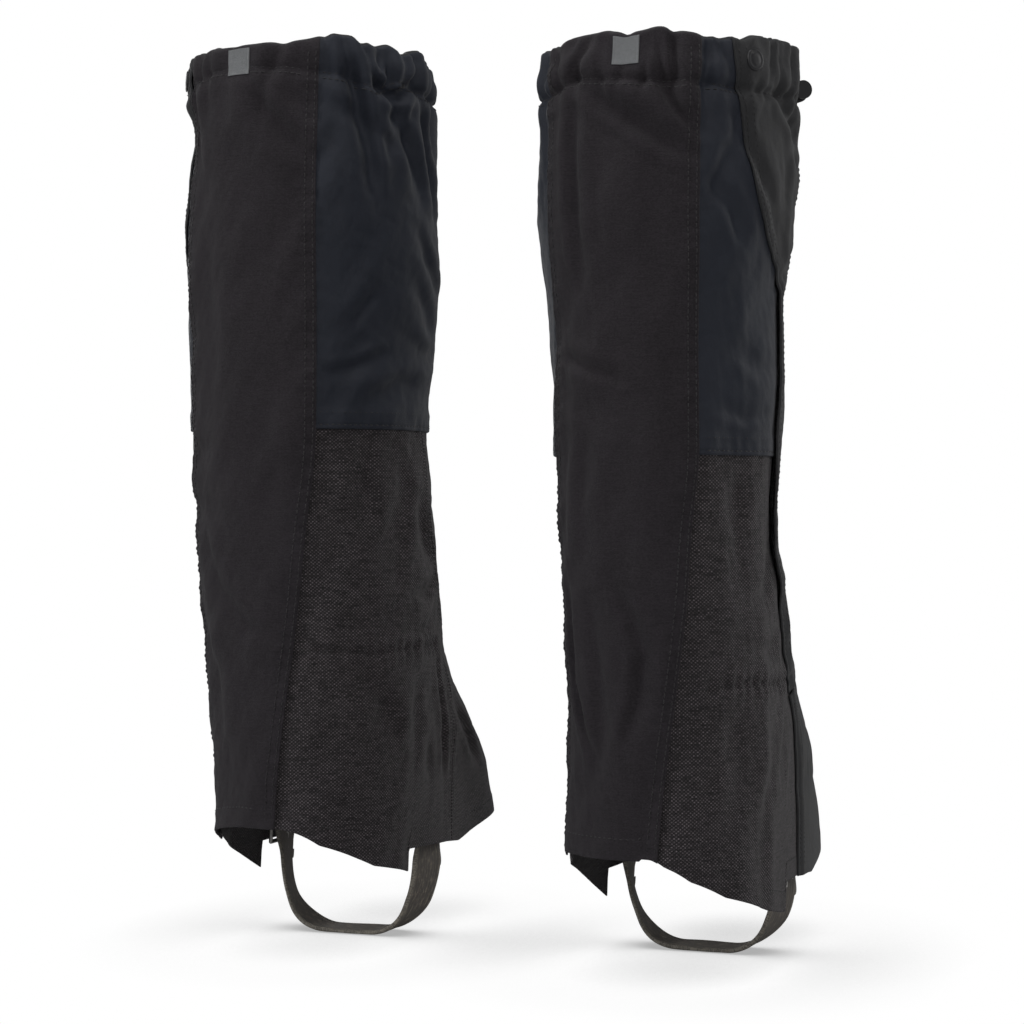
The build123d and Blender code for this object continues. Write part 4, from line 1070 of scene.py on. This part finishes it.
    # root bindings, sewn to the shell and to the flap
    def ramp(a, b):
        return lambda t, z: a + (b - a) * sstep(t / Hf(z), 0.897, 0.925)
    ob, _ = panel(V("flap_root"), g, lambda z: 0.872 * Hf(z), lambda z: 0.955 * Hf(z), split(3.0), TOP_Z, ramp(1.3, 4.65), ramp(1.9, 5.25), [MAT["flap"]], None, [], e0=dict(rows=(2.2,), lift=0.15, band=4.0), e1=dict(rows=(2.2,), lift=0.15, band=4.0))
    Hm = float(Hf(350.0))
    [float(c) for c in cloth(g, 0.895 * Hm, 350.0, 3.0)]
    [float(c) for c in cloth(g, 0.94 * Hm, 350.0, 3.0)]
    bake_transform(ob)
    ob, _ = panel(V("low_flap_root"), g, lambda z: 0.872 * Hf(z), lambda z: 0.955 * Hf(z), hem, split(-2.0), ramp(0.15, 3.25), ramp(0.75, 3.85), [MAT["flap"]], None, [], e0=dict(rows=(2.2,), lift=0.15, band=4.0), e1=dict(rows=(2.2,), lift=0.15, band=4.0))
    Hm = float(Hf(130.0))
    [float(c) for c in cloth(g, 0.895 * Hm, 130.0, 2.0)]
    [float(c) for c in cloth(g, 0.94 * Hm, 130.0, 2.0)]
    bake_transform(ob)

    # ---- stitching
    runs = []
    za = np.arange(30.0, 512.0, 1.0)
    for f, s_ in ((so, 1), (si, -1)):
        for r in (1.8, 6.0):
            t = f(za) + s_ * r
            m = za > hem(t, za) + 3.0
            runs.append((t[m], za[m], 2.40))
    z0 = float(stitch_z(g, 0))
    for a_, b_, off in ((float(so(500)) + 7.5, float(si(500)) - 7.5, 2.34), (float(si(500)) + 1.5, 0.94 * H5, 1.18), (-111.0, float(so(500)) - 1.5, 1.18)):
        t = np.arange(a_, b_, 1.0)
        if len(t) > 4:
            runs.append((t, stitch_z(g, t), off))
            runs.append((t, stitch_z(g, t) - 3.0, off))
    for dz, off in ((2.4, 1.30), (9.4, 1.30)):
        t = np.arange(float(si(lap)) + 1.0, 0.95 * float(Hf(lap)), 1.0)
        runs.append((t, np.full(len(t), lap + dz), off))
        t = np.arange(-111.0, float(so(lap)) - 1.0, 1.0)
        runs.append((t, np.full(len(t), lap + dz), off))
    for za_, off in ((-4.0, 0.05), (4.0, 0.05)):
        t = np.arange(float(si(178)) + 3.0, 132.0, 1.0)
        if za_ < 0:
            runs.append((t, EL_Z[g] + 1.2 * np.sin(t / 14.0), off))
            t = np.arange(-122.0, float(so(178)) - 3.0, 1.0)
            runs.append((t, EL_Z[g] + 1.2 * np.sin(t / 14.0), off))
    zt = np.arange(50.0, lap - 2.0, 1.0)
    for s_ in (-2.4, 2.7):
        t = toe(zt) + s_
        m = zt > hem(t, zt) + 3
        runs.append((t[m], zt[m], 0.12))
    strap_y = STRAP_Y[g]
    for a_, b_, off in ((float(so(70)) + 8.0, float(si(70)) - 8.0, 2.34), (float(si(70)) + 1.5, 0.93 * float(Hf(60)), 0.06), (-150.0, float(so(70)) - 1.5, 0.06), (-0.98 * float(Hf(60)), -157.0, 0.06)):
        t = np.arange(a_, b_, 1.0)
        z = along(g, t, 11.5, hem)
        cut = np.where(np.abs(np.diff(z)) > 4)[0]
        for part in np.split(np.arange(len(t)), cut + 1):
            if len(part) > 5:
                runs.append((t[part], z[part], off))
    stitches(V("stitching_shell"), g, runs, MAT["thread"], shell)
    # flap edges: straight runs stay on the flap, runs over the tab ride the wing
    zf = np.arange(180.0, 388.0, 1.0)
    fr, wr = [], []
    for r in (2.6, 7.0):
        t = 2 * Hf(zf) - vis_edge(zf) - r
        m = (zf > split(0.4)(t, zf) + 4)
        fr.append((t[m], zf[m], flap_in(t, zf)[m] + 1.18))
        zw = np.arange(394.0, 513.0, 1.0)
        t = 2 * Hf(zw) - vis_edge(zw) - r
        m = vis_edge(zw) + r < 97.0
        wr.append((t[m], zw[m], flap_in(t, zw)[m] + 1.18))
    t = np.arange(0.95 * H5, 2 * H5 - 112.0, 1.0)
    fr.append((t, stitch_z(g, t), flap_in(t, stitch_z(g, t)) + 1.08))
    t = np.arange(2 * H5 - 96.0, 2 * H5 - 66.0, 1.0)
    wr.append((t, stitch_z(g, t), flap_in(t, stitch_z(g, t)) + 1.08))
    # outline of the tape, sewn through
    for r in (33.0, 7.5):
        zz = np.arange(214.0, 470.0, 1.0)
        if r > 8:
            fr.append((2 * Hf(zz) + e_in(zz) - r, zz, np.full(len(zz), 4.56)))
    stitches(V("stitching_flap"), g, fr, MAT["thread"], flap)
    stitches(V("stitching_wing"), g, wr, MAT["thread"], wing)
    zl = np.arange(60.0, 190.0, 1.0)
    lr = []
    for r in (2.6, 7.0):
        t = 2 * Hf(zl) - lut(FLAP_EDGE, zl) - r
        m = (zl > hem(t, zl) + 4) & (zl < split(-0.4)(t, zl) - 3)
        lr.append((t[m], zl[m], low_in(t, zl)[m] + 1.18))
    stitches(V("stitching_low_flap"), g, lr, MAT["thread"], low)

    # ---- plain woven tab on the hem
    ta, tb = (-7.0, 7.0) if g == "right" else (-19.0, -5.0)
    panel(V("tab"), g, const(ta), const(tb), TOP_Z - 17, TOP_Z - 2, 2.42, 3.0, [MAT["label"]], shell, N("label"), e0=dict(rows=(1.4,), lift=0.12, band=2.4), e1=dict(rows=(1.4,), lift=0.12, band=2.4), step=1.0)

    # ---- snap
    so_, sn_, se_ = frame_at(g, 2 * float(Hf(503)) - 70.0, 503.0, 0.0)
    fo = float(flap_in(np.array(2 * float(Hf(503)) - 70.0), np.array(503.0)))
    cap = [(0, fo + 1.0), (5.4, fo + 1.0), (6.0, fo + 1.25), (6.05, fo + 1.6), (5.7, fo + 2.0), (4.9, fo + 2.22), (4.4, fo + 2.12), (3.6, fo + 2.1), (3.0, fo + 2.3), (1.6, fo + 2.42), (0, fo + 2.45)]
    turned(V("snap_cap"), so_, sn_, cap, MAT["black_metal"], wing, N("snap_cap"))
    turned(V("snap_socket"), so_, sn_, [(2.6, fo - 0.05), (4.6, fo - 0.05), (4.9, fo - 0.35), (4.7, fo - 0.7), (2.1, fo - 0.75), (2.0, fo - 0.3)], MAT["metal"], wing, N())
    turned(V("snap_stud"), so_, sn_, [(0, 1.15), (4.7, 1.15), (4.9, 1.4), (4.6, 1.65), (2.0, 1.7), (1.6, 1.9), (1.75, 2.5), (1.3, 2.75), (0, 2.8)], MAT["metal"], shell, N("snap_stud"))

    # ---- cord loop, its buttonholes, barrel lock
    def flat_frame(t, z):
        x, y, nx, ny = (float(c) for c in local(g, t, z))
        w = lambda a, b: world(g, a, b, z) * MM
        o = w(x, y)
        n = w(x + nx, y + ny) - o
        n /= np.linalg.norm(n)
        n[2] = 0
        n /= np.linalg.norm(n)
        x2, y2 = (float(c) for c in local(g, t + 0.5, z)[:2])
        x1, y1 = (float(c) for c in local(g, t - 0.5, z)[:2])
        e = w(x2, y2) - w(x1, y1)
        e[2] = 0
        return o, n, e / np.linalg.norm(e)
    o, n, e = flat_frame(-160.0, 500.0)
    up = np.array([0, 0, 1.0])
    Pw = lambda dt, dn, dz: o + MM * (e * dt + n * dn + up * dz)
    s_ = 1.5
    key = [(-s_, 4.4, 9.4), (-s_, 6.4, 10.1), (-s_, 8.6, 10.3), (-s_, 10.4, 9.5), (-s_, 11.4, 8.2), (-s_, 11.6, 6.5), (-s_, 11.6, 0), (-s_, 11.6, -10), (-s_, 11.6, -20), (-s_ * 1.15, 11.5, -30), (-s_ * 1.2, 11.4, -37), (-s_ * 0.8, 11.4, -40.5), (0, 11.4, -41.9),
           (s_ * 0.8, 11.4, -40.5), (s_ * 1.2, 11.4, -37), (s_ * 1.15, 11.5, -30), (s_, 11.6, -20), (s_, 11.6, -10), (s_, 11.6, 0), (s_, 11.6, 6.5), (s_, 11.4, 8.2), (s_, 10.4, 9.5), (s_, 8.6, 10.3), (s_, 6.4, 10.1), (s_, 4.4, 9.4)]
    K = np.array([Pw(*k) for k in key])
    cum = np.concatenate([[0], np.cumsum(np.linalg.norm(np.diff(K, axis=0), axis=1))])
    uu = np.linspace(0, cum[-1], 150)
    path = np.stack([np.interp(uu, cum, K[:, i]) for i in range(3)], 1)
    for _ in range(4):
        path[1:-1] = (path[:-2] + 2 * path[1:-1] + path[2:]) / 4
    ob = tube(V("cord_loop"), path, CORD_R * MM, MAT["cord"], flap, N("cord_loop"), sides=16)
    ob.data.uv_layers.new(name="UVMap")
    loops = np.zeros(len(ob.data.loops), np.int32)
    ob.data.loops.foreach_get("vertex_index", loops)
    uvv = np.stack([np.minimum(loops // 16, 149) * (cum[-1] * 1000 / 149), (loops % 16) / 16.0], 1)
    ob.data.uv_layers["UVMap"].data.foreach_set("uv", uvv.astype(np.float32).ravel())
    for i, dt in enumerate((-s_, s_)):
        turned(V(f"buttonhole_{i}"), Pw(dt, 4.4, 9.4), n, [(1.5, -0.4), (2.1, -0.3), (2.35, 0.1), (2.1, 0.5), (1.6, 0.5), (1.35, 0.1)], MAT["thread"], flap, (), sides=20)
    for nd in ("cord_lock_barrel", "cord_lock_button"):
        paint(f"{g}_{nd}", MAT["plastic"])
    for nd in ("lace_hook", "rivets", "buckle_frame", "buckle_prong"):
        paint(f"{g}_{nd}", MAT["metal"])
    spring_copy(g)
    for nd in ("strap_patches", "buckle_tab"):
        paint(f"{g}_{nd}", MAT["webbing"])

    # ---- instep strap: a worn band, a little twisted, with rolled edges
    yc = STRAP_Y[g]
    z0 = -q["dz"]
    xm = STRAP_X + STRAP_T / 2
    zb_ = z0 + STRAP_T / 2
    rx, rz = 33.0, 46.0
    pts = []
    for z in np.linspace(103.0, zb_ + rz, 40)[:-1]:
        pts.append((xm, z))
    for a in np.linspace(0, 90, 34):
        ca, sa = max(math.cos(math.radians(a)), 0.0) ** 0.92, max(math.sin(math.radians(a)), 0.0) ** 0.92
        pts.append((xm - rx + rx * ca, zb_ + rz - rz * sa))
    for x in np.linspace(xm - rx, -(xm - rx), 16)[1:-1]:
        pts.append((x, zb_))
    for a in np.linspace(90, 180, 34):
        ca, sa = max(-math.cos(math.radians(a)), 0.0) ** 0.92, max(math.sin(math.radians(a)), 0.0) ** 0.92
        pts.append((-(xm - rx) - rx * ca, zb_ + rz - rz * sa))
    for z in np.linspace(zb_ + rz, 72.0, 22)[1:]:
        pts.append((-xm, z))
    pts = np.array(pts)
    L = np.concatenate([[0], np.cumsum(np.hypot(*np.diff(pts, axis=0).T))])
    tg = np.gradient(pts, axis=0)
    tg /= np.hypot(*tg.T)[:, None]
    nr = np.stack([-tg[:, 1], tg[:, 0]], 1)       # outward: starts pointing +x on the inner run
    rng = np.random.default_rng(31 if g == "left" else 37)
    W = np.array([-12.5, -12.3, -11.8, -11.0, -9.5, -7, -4.5, -2, 0, 2, 4.5, 7, 9.5, 11.0, 11.8, 12.3, 12.5])
    LL, WW = np.meshgrid(L, W, indexing="ij")
    ZZ = np.broadcast_to(pts[:, 1][:, None], LL.shape)
    low_part = np.exp(-(((LL - L[-1] * 0.47) / 55.0) ** 2))
    free = sstep(LL, 48, 62) * (1 - sstep(LL, L[-1] - 22, L[-1] - 8))
    edge_wave = 0.35 * np.sin(LL / 7.0 + (WW > 0) * 1.9) * (np.abs(WW) / 12.5) ** 4 * free
    bend = (0.5 * np.sin(LL / 19.0) + 0.3 * np.sin(LL / 9.0 + 1)) * free * (1 - 0.9 * low_part)
    rim = 0.28 * np.exp(-(((np.abs(WW) - 11.2) / 0.8) ** 2))
    th_ = STRAP_T / 2
    rnd = 1.0 - np.sqrt(np.clip(1 - (np.clip(np.abs(WW) - 11.4, 0, 1.1) / 1.1) ** 2, 0.02, 1))
    wide = 1.0 + 0.012 * np.sin(LL / 23.0)
    def side_pts(sgn):
        turn_ = 0.25 * WW * sstep(-ZZ, -62, -44) * sstep(ZZ, z0 + 2, z0 + 22)
        off = sgn * (th_ - th_ * rnd * 0.95 + rim) + bend + edge_wave - turn_
        x = pts[:, 0][:, None] + nr[:, 0][:, None] * off
        z = pts[:, 1][:, None] + nr[:, 1][:, None] * off
        z = np.maximum(z, z0 + 0.02)
        return world(g, x, yc + WW * wide, z) * MM
    A, B = side_pts(1.0), side_pts(-1.0)
    R, C = A.shape[:2]
    Vv = np.concatenate([A.reshape(-1, 3), B.reshape(-1, 3)])
    n_ = R * C
    F = [grid_faces(R, C), grid_faces(R, C, True, n_)]
    ring = np.concatenate([np.arange(C), np.arange(1, R) * C + C - 1, (R - 1) * C + np.arange(C - 2, -1, -1), np.arange(R - 2, 0, -1) * C])
    nxt = np.roll(ring, -1)
    F.append(np.stack([ring, ring + n_, nxt + n_, nxt], -1))
    ob = new_mesh(V("strap"), Vv, np.concatenate(F), [MAT["strap"]], np.tile(np.stack([WW, np.minimum(LL, L[-1] - LL)], -1).reshape(-1, 2), (2, 1)))
    outward(ob)
    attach(ob, f"{g}_strap")
    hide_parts(f"{g}_instep_strap")
    # brass-edged adjustment holes below the buckle
    for i, z in enumerate((55.0, 48.0)):
        c = world(g, -xm, yc, z) * MM
        d = world(g, -xm - 1, yc, z) * MM - c
        for k, sgn in enumerate((1, -1)):
            turned(V(f"eyelet_{i}_{k}"), c, d * sgn, [(1.7, 0.9), (1.9, 1.22), (2.5, 1.3), (2.75, 1.14), (2.7, 0.9)], MAT["metal"], f"{g}_strap", (), sides=24)
    # folded tape tail beside the strap's top front edge, inner and outer run
    for k, sx in enumerate((1, -1)):
        yy = yc - 13.4
        xs = xm + 1.9
        tail = [(xs, yy + 1.0, 66), (xs, yy + 0.4, 58), (xs + 0.2, yy, 50), (xs + 0.8, yy - 0.6, 44), (xs + 0.9, yy - 0.4, 40.0), (xs + 0.2, yy + 0.6, 38.2), (xs - 0.5, yy + 0.9, 40.5), (xs - 0.5, yy + 0.5, 45)]
        Kt = np.array([world(g, sx * a, b, c) * MM for a, b, c in tail])
        cum2 = np.concatenate([[0], np.cumsum(np.linalg.norm(np.diff(Kt, axis=0), axis=1))])
        u2 = np.linspace(0, cum2[-1], 40)
        pth = np.stack([np.interp(u2, cum2, Kt[:, i]) for i in range(3)], 1)
        for _ in range(6):
            pth[1:-1] = (pth[:-2] + 2 * pth[1:-1] + pth[2:]) / 4
        V2, F2 = [], []
        for p in pth:
            for dy, dx in ((-2.4, -0.3), (2.4, -0.3), (2.4, 0.3), (-2.4, 0.3)):
                V2.append(p + np.array([dx * MM, dy * MM, 0]))
        for i in range(len(pth) - 1):
            for j in range(4):
                b = (j + 1) % 4
                F2.append([i * 4 + j, i * 4 + b, (i + 1) * 4 + b, (i + 1) * 4 + j])
        F2 += [[3, 2, 1, 0], [(len(pth) - 1) * 4 + j for j in range(4)]]
        ob = new_mesh(V(f"tape_tail_{k}"), np.array(V2), F2, [MAT["tape"]])
        outward(ob)
        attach(ob, f"{g}_strap")


def spring_copy(g):
    """The lock's spring: a copy of the CAD node in place, painted metal and attached to the lock."""
    src = frame["nodes"][g + "_cord_lock_spring"]
    joint = next(j for j in frame["joints"] if j["name"] == g + "_button_press")
    a = np.array(joint["axis"], float)
    a /= np.linalg.norm(a)
    ob = bpy.data.objects.new(g + "_vis_lock_spring", src.data.copy())
    bpy.context.collection.objects.link(ob)
    pts = np.array([src.matrix_world @ v.co for v in src.data.vertices], float)
    ob.data.vertices.foreach_set("co", pts.ravel())
    ob.data.materials.clear()
    ob.data.materials.append(MAT["metal"])
    for p in ob.data.polygons:
        p.material_index = 0
    ob.data.shade_smooth()
    ob.data.update()
    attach(ob, g + "_lock")
    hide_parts(g + "_cord_lock_spring")
    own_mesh(ob)


def paint(node, mat):
    ob = frame["nodes"][node]
    ob.data.materials.clear()
    ob.data.materials.append(mat)
    for p in ob.data.polygons:
        p.material_index = 0
    try:
        ob.data.shade_smooth()
    except AttributeError:
        pass
    ob.data.update()


for g in GAITERS:
    build(g)

# ------------------------------------------------------------------ studio
sc = bpy.context.scene
sc.view_settings.view_transform = "Standard"
sc.view_settings.look = "None"
sc.view_settings.exposure = 0.0
sc.view_settings.gamma = 1.0
wd = bpy.data.worlds.new("studio")
sc.world = wd
wd.use_nodes = True
nt = wd.node_tree
nt.nodes.clear()
out = nt.nodes.new("ShaderNodeOutputWorld")
lp = nt.nodes.new("ShaderNodeLightPath")
mixs = nt.nodes.new("ShaderNodeMixShader")
soft = nt.nodes.new("ShaderNodeBackground")
soft.inputs[0].default_value = (0.97, 0.985, 1.0, 1)
soft.inputs[1].default_value = 0.14
seen = nt.nodes.new("ShaderNodeBackground")
seen.inputs[0].default_value = (1, 1, 1, 1)
seen.inputs[1].default_value = 1.0
nt.links.new(lp.outputs["Is Camera Ray"], mixs.inputs[0])
nt.links.new(soft.outputs[0], mixs.inputs[1])
nt.links.new(seen.outputs[0], mixs.inputs[2])
nt.links.new(mixs.outputs[0], out.inputs[0])

# floor: camera rays see a glowing white floor whose strength falls with ambient occlusion near the gaiters, a painted
# contact shadow; other rays see a plain grey diffuse floor
fm = bpy.data.materials.new("floor")
fm.use_nodes = True
nt = fm.node_tree
nt.nodes.clear()
out = nt.nodes.new("ShaderNodeOutputMaterial")
em = nt.nodes.new("ShaderNodeEmission")
ao = nt.nodes.new("ShaderNodeAmbientOcclusion")
ao.inputs["Distance"].default_value = 0.11
ao.samples = 12
mr = nt.nodes.new("ShaderNodeMapRange")
mr.inputs[1].default_value, mr.inputs[2].default_value = 0.35, 0.97
mr.inputs[3].default_value, mr.inputs[4].default_value = 0.42, 1.0
nt.links.new(ao.outputs["AO"], mr.inputs[0])
nt.links.new(mr.outputs[0], em.inputs[1])
df = nt.nodes.new("ShaderNodeBsdfDiffuse")
df.inputs[0].default_value = (0.6, 0.6, 0.6, 1)
lp = nt.nodes.new("ShaderNodeLightPath")
ad = nt.nodes.new("ShaderNodeMixShader")
nt.links.new(lp.outputs["Is Camera Ray"], ad.inputs[0])
nt.links.new(df.outputs[0], ad.inputs[1])
nt.links.new(em.outputs[0], ad.inputs[2])
nt.links.new(ad.outputs[0], out.inputs[0])
floor = new_mesh("studio_floor", [(-6, -6, -0.0004), (6, -6, -0.0004), (6, 6, -0.0004), (-6, 6, -0.0004)], [[0, 1, 2, 3]], [fm], smooth=False)


def softbox(name, loc, aim, size, power, color=(1, 1, 1)):
    li = bpy.data.lights.new(name, "AREA")
    li.shape = "RECTANGLE"
    li.size, li.size_y = size
    li.energy = power
    li.color = color
    ob = bpy.data.objects.new(name, li)
    sc.collection.objects.link(ob)
    ob.location = loc
    ob.rotation_mode = "QUATERNION"
    ob.rotation_quaternion = (Vector(aim) - Vector(loc)).to_track_quat("-Z", "Y")
    return ob


softbox("key", (-1.5, 1.9, 1.5), (0, 0, 0.26), (0.6, 1.2), 13.5, (1.0, 0.99, 0.975))
softbox("fill", (1.7, 1.5, 1.0), (0, 0, 0.26), (0.6, 1.2), 14.5, (0.98, 0.99, 1.0))
softbox("top", (0.0, 0.5, 2.1), (0, 0, 0.2), (1.2, 1.2), 11)
softbox("front_left", (1.6, -1.4, 0.9), (0, 0, 0.26), (0.9, 1.2), 7)
softbox("front_right", (-1.6, -1.4, 0.9), (0, 0, 0.26), (0.9, 1.2), 7)

AZ, YAW, PITCH = math.radians(200.909), math.radians(-0.648), math.radians(0.239)
cd = bpy.data.cameras.new("view")
cd.lens, cd.sensor_width = 88.01, 36.0
cd.clip_start, cd.clip_end = 0.05, 50
cam = bpy.data.objects.new("view", cd)
sc.collection.objects.link(cam)
cam.location = (1.432504 * math.sin(AZ) - 0.001535, 0.053978 - 1.432504 * math.cos(AZ), 0.259269)
fw = Vector((-math.sin(AZ + YAW) * math.cos(PITCH), math.cos(AZ + YAW) * math.cos(PITCH), -math.sin(PITCH)))
cam.rotation_mode = "QUATERNION"
cam.rotation_quaternion = fw.to_track_quat("-Z", "Y")
sc.camera = cam
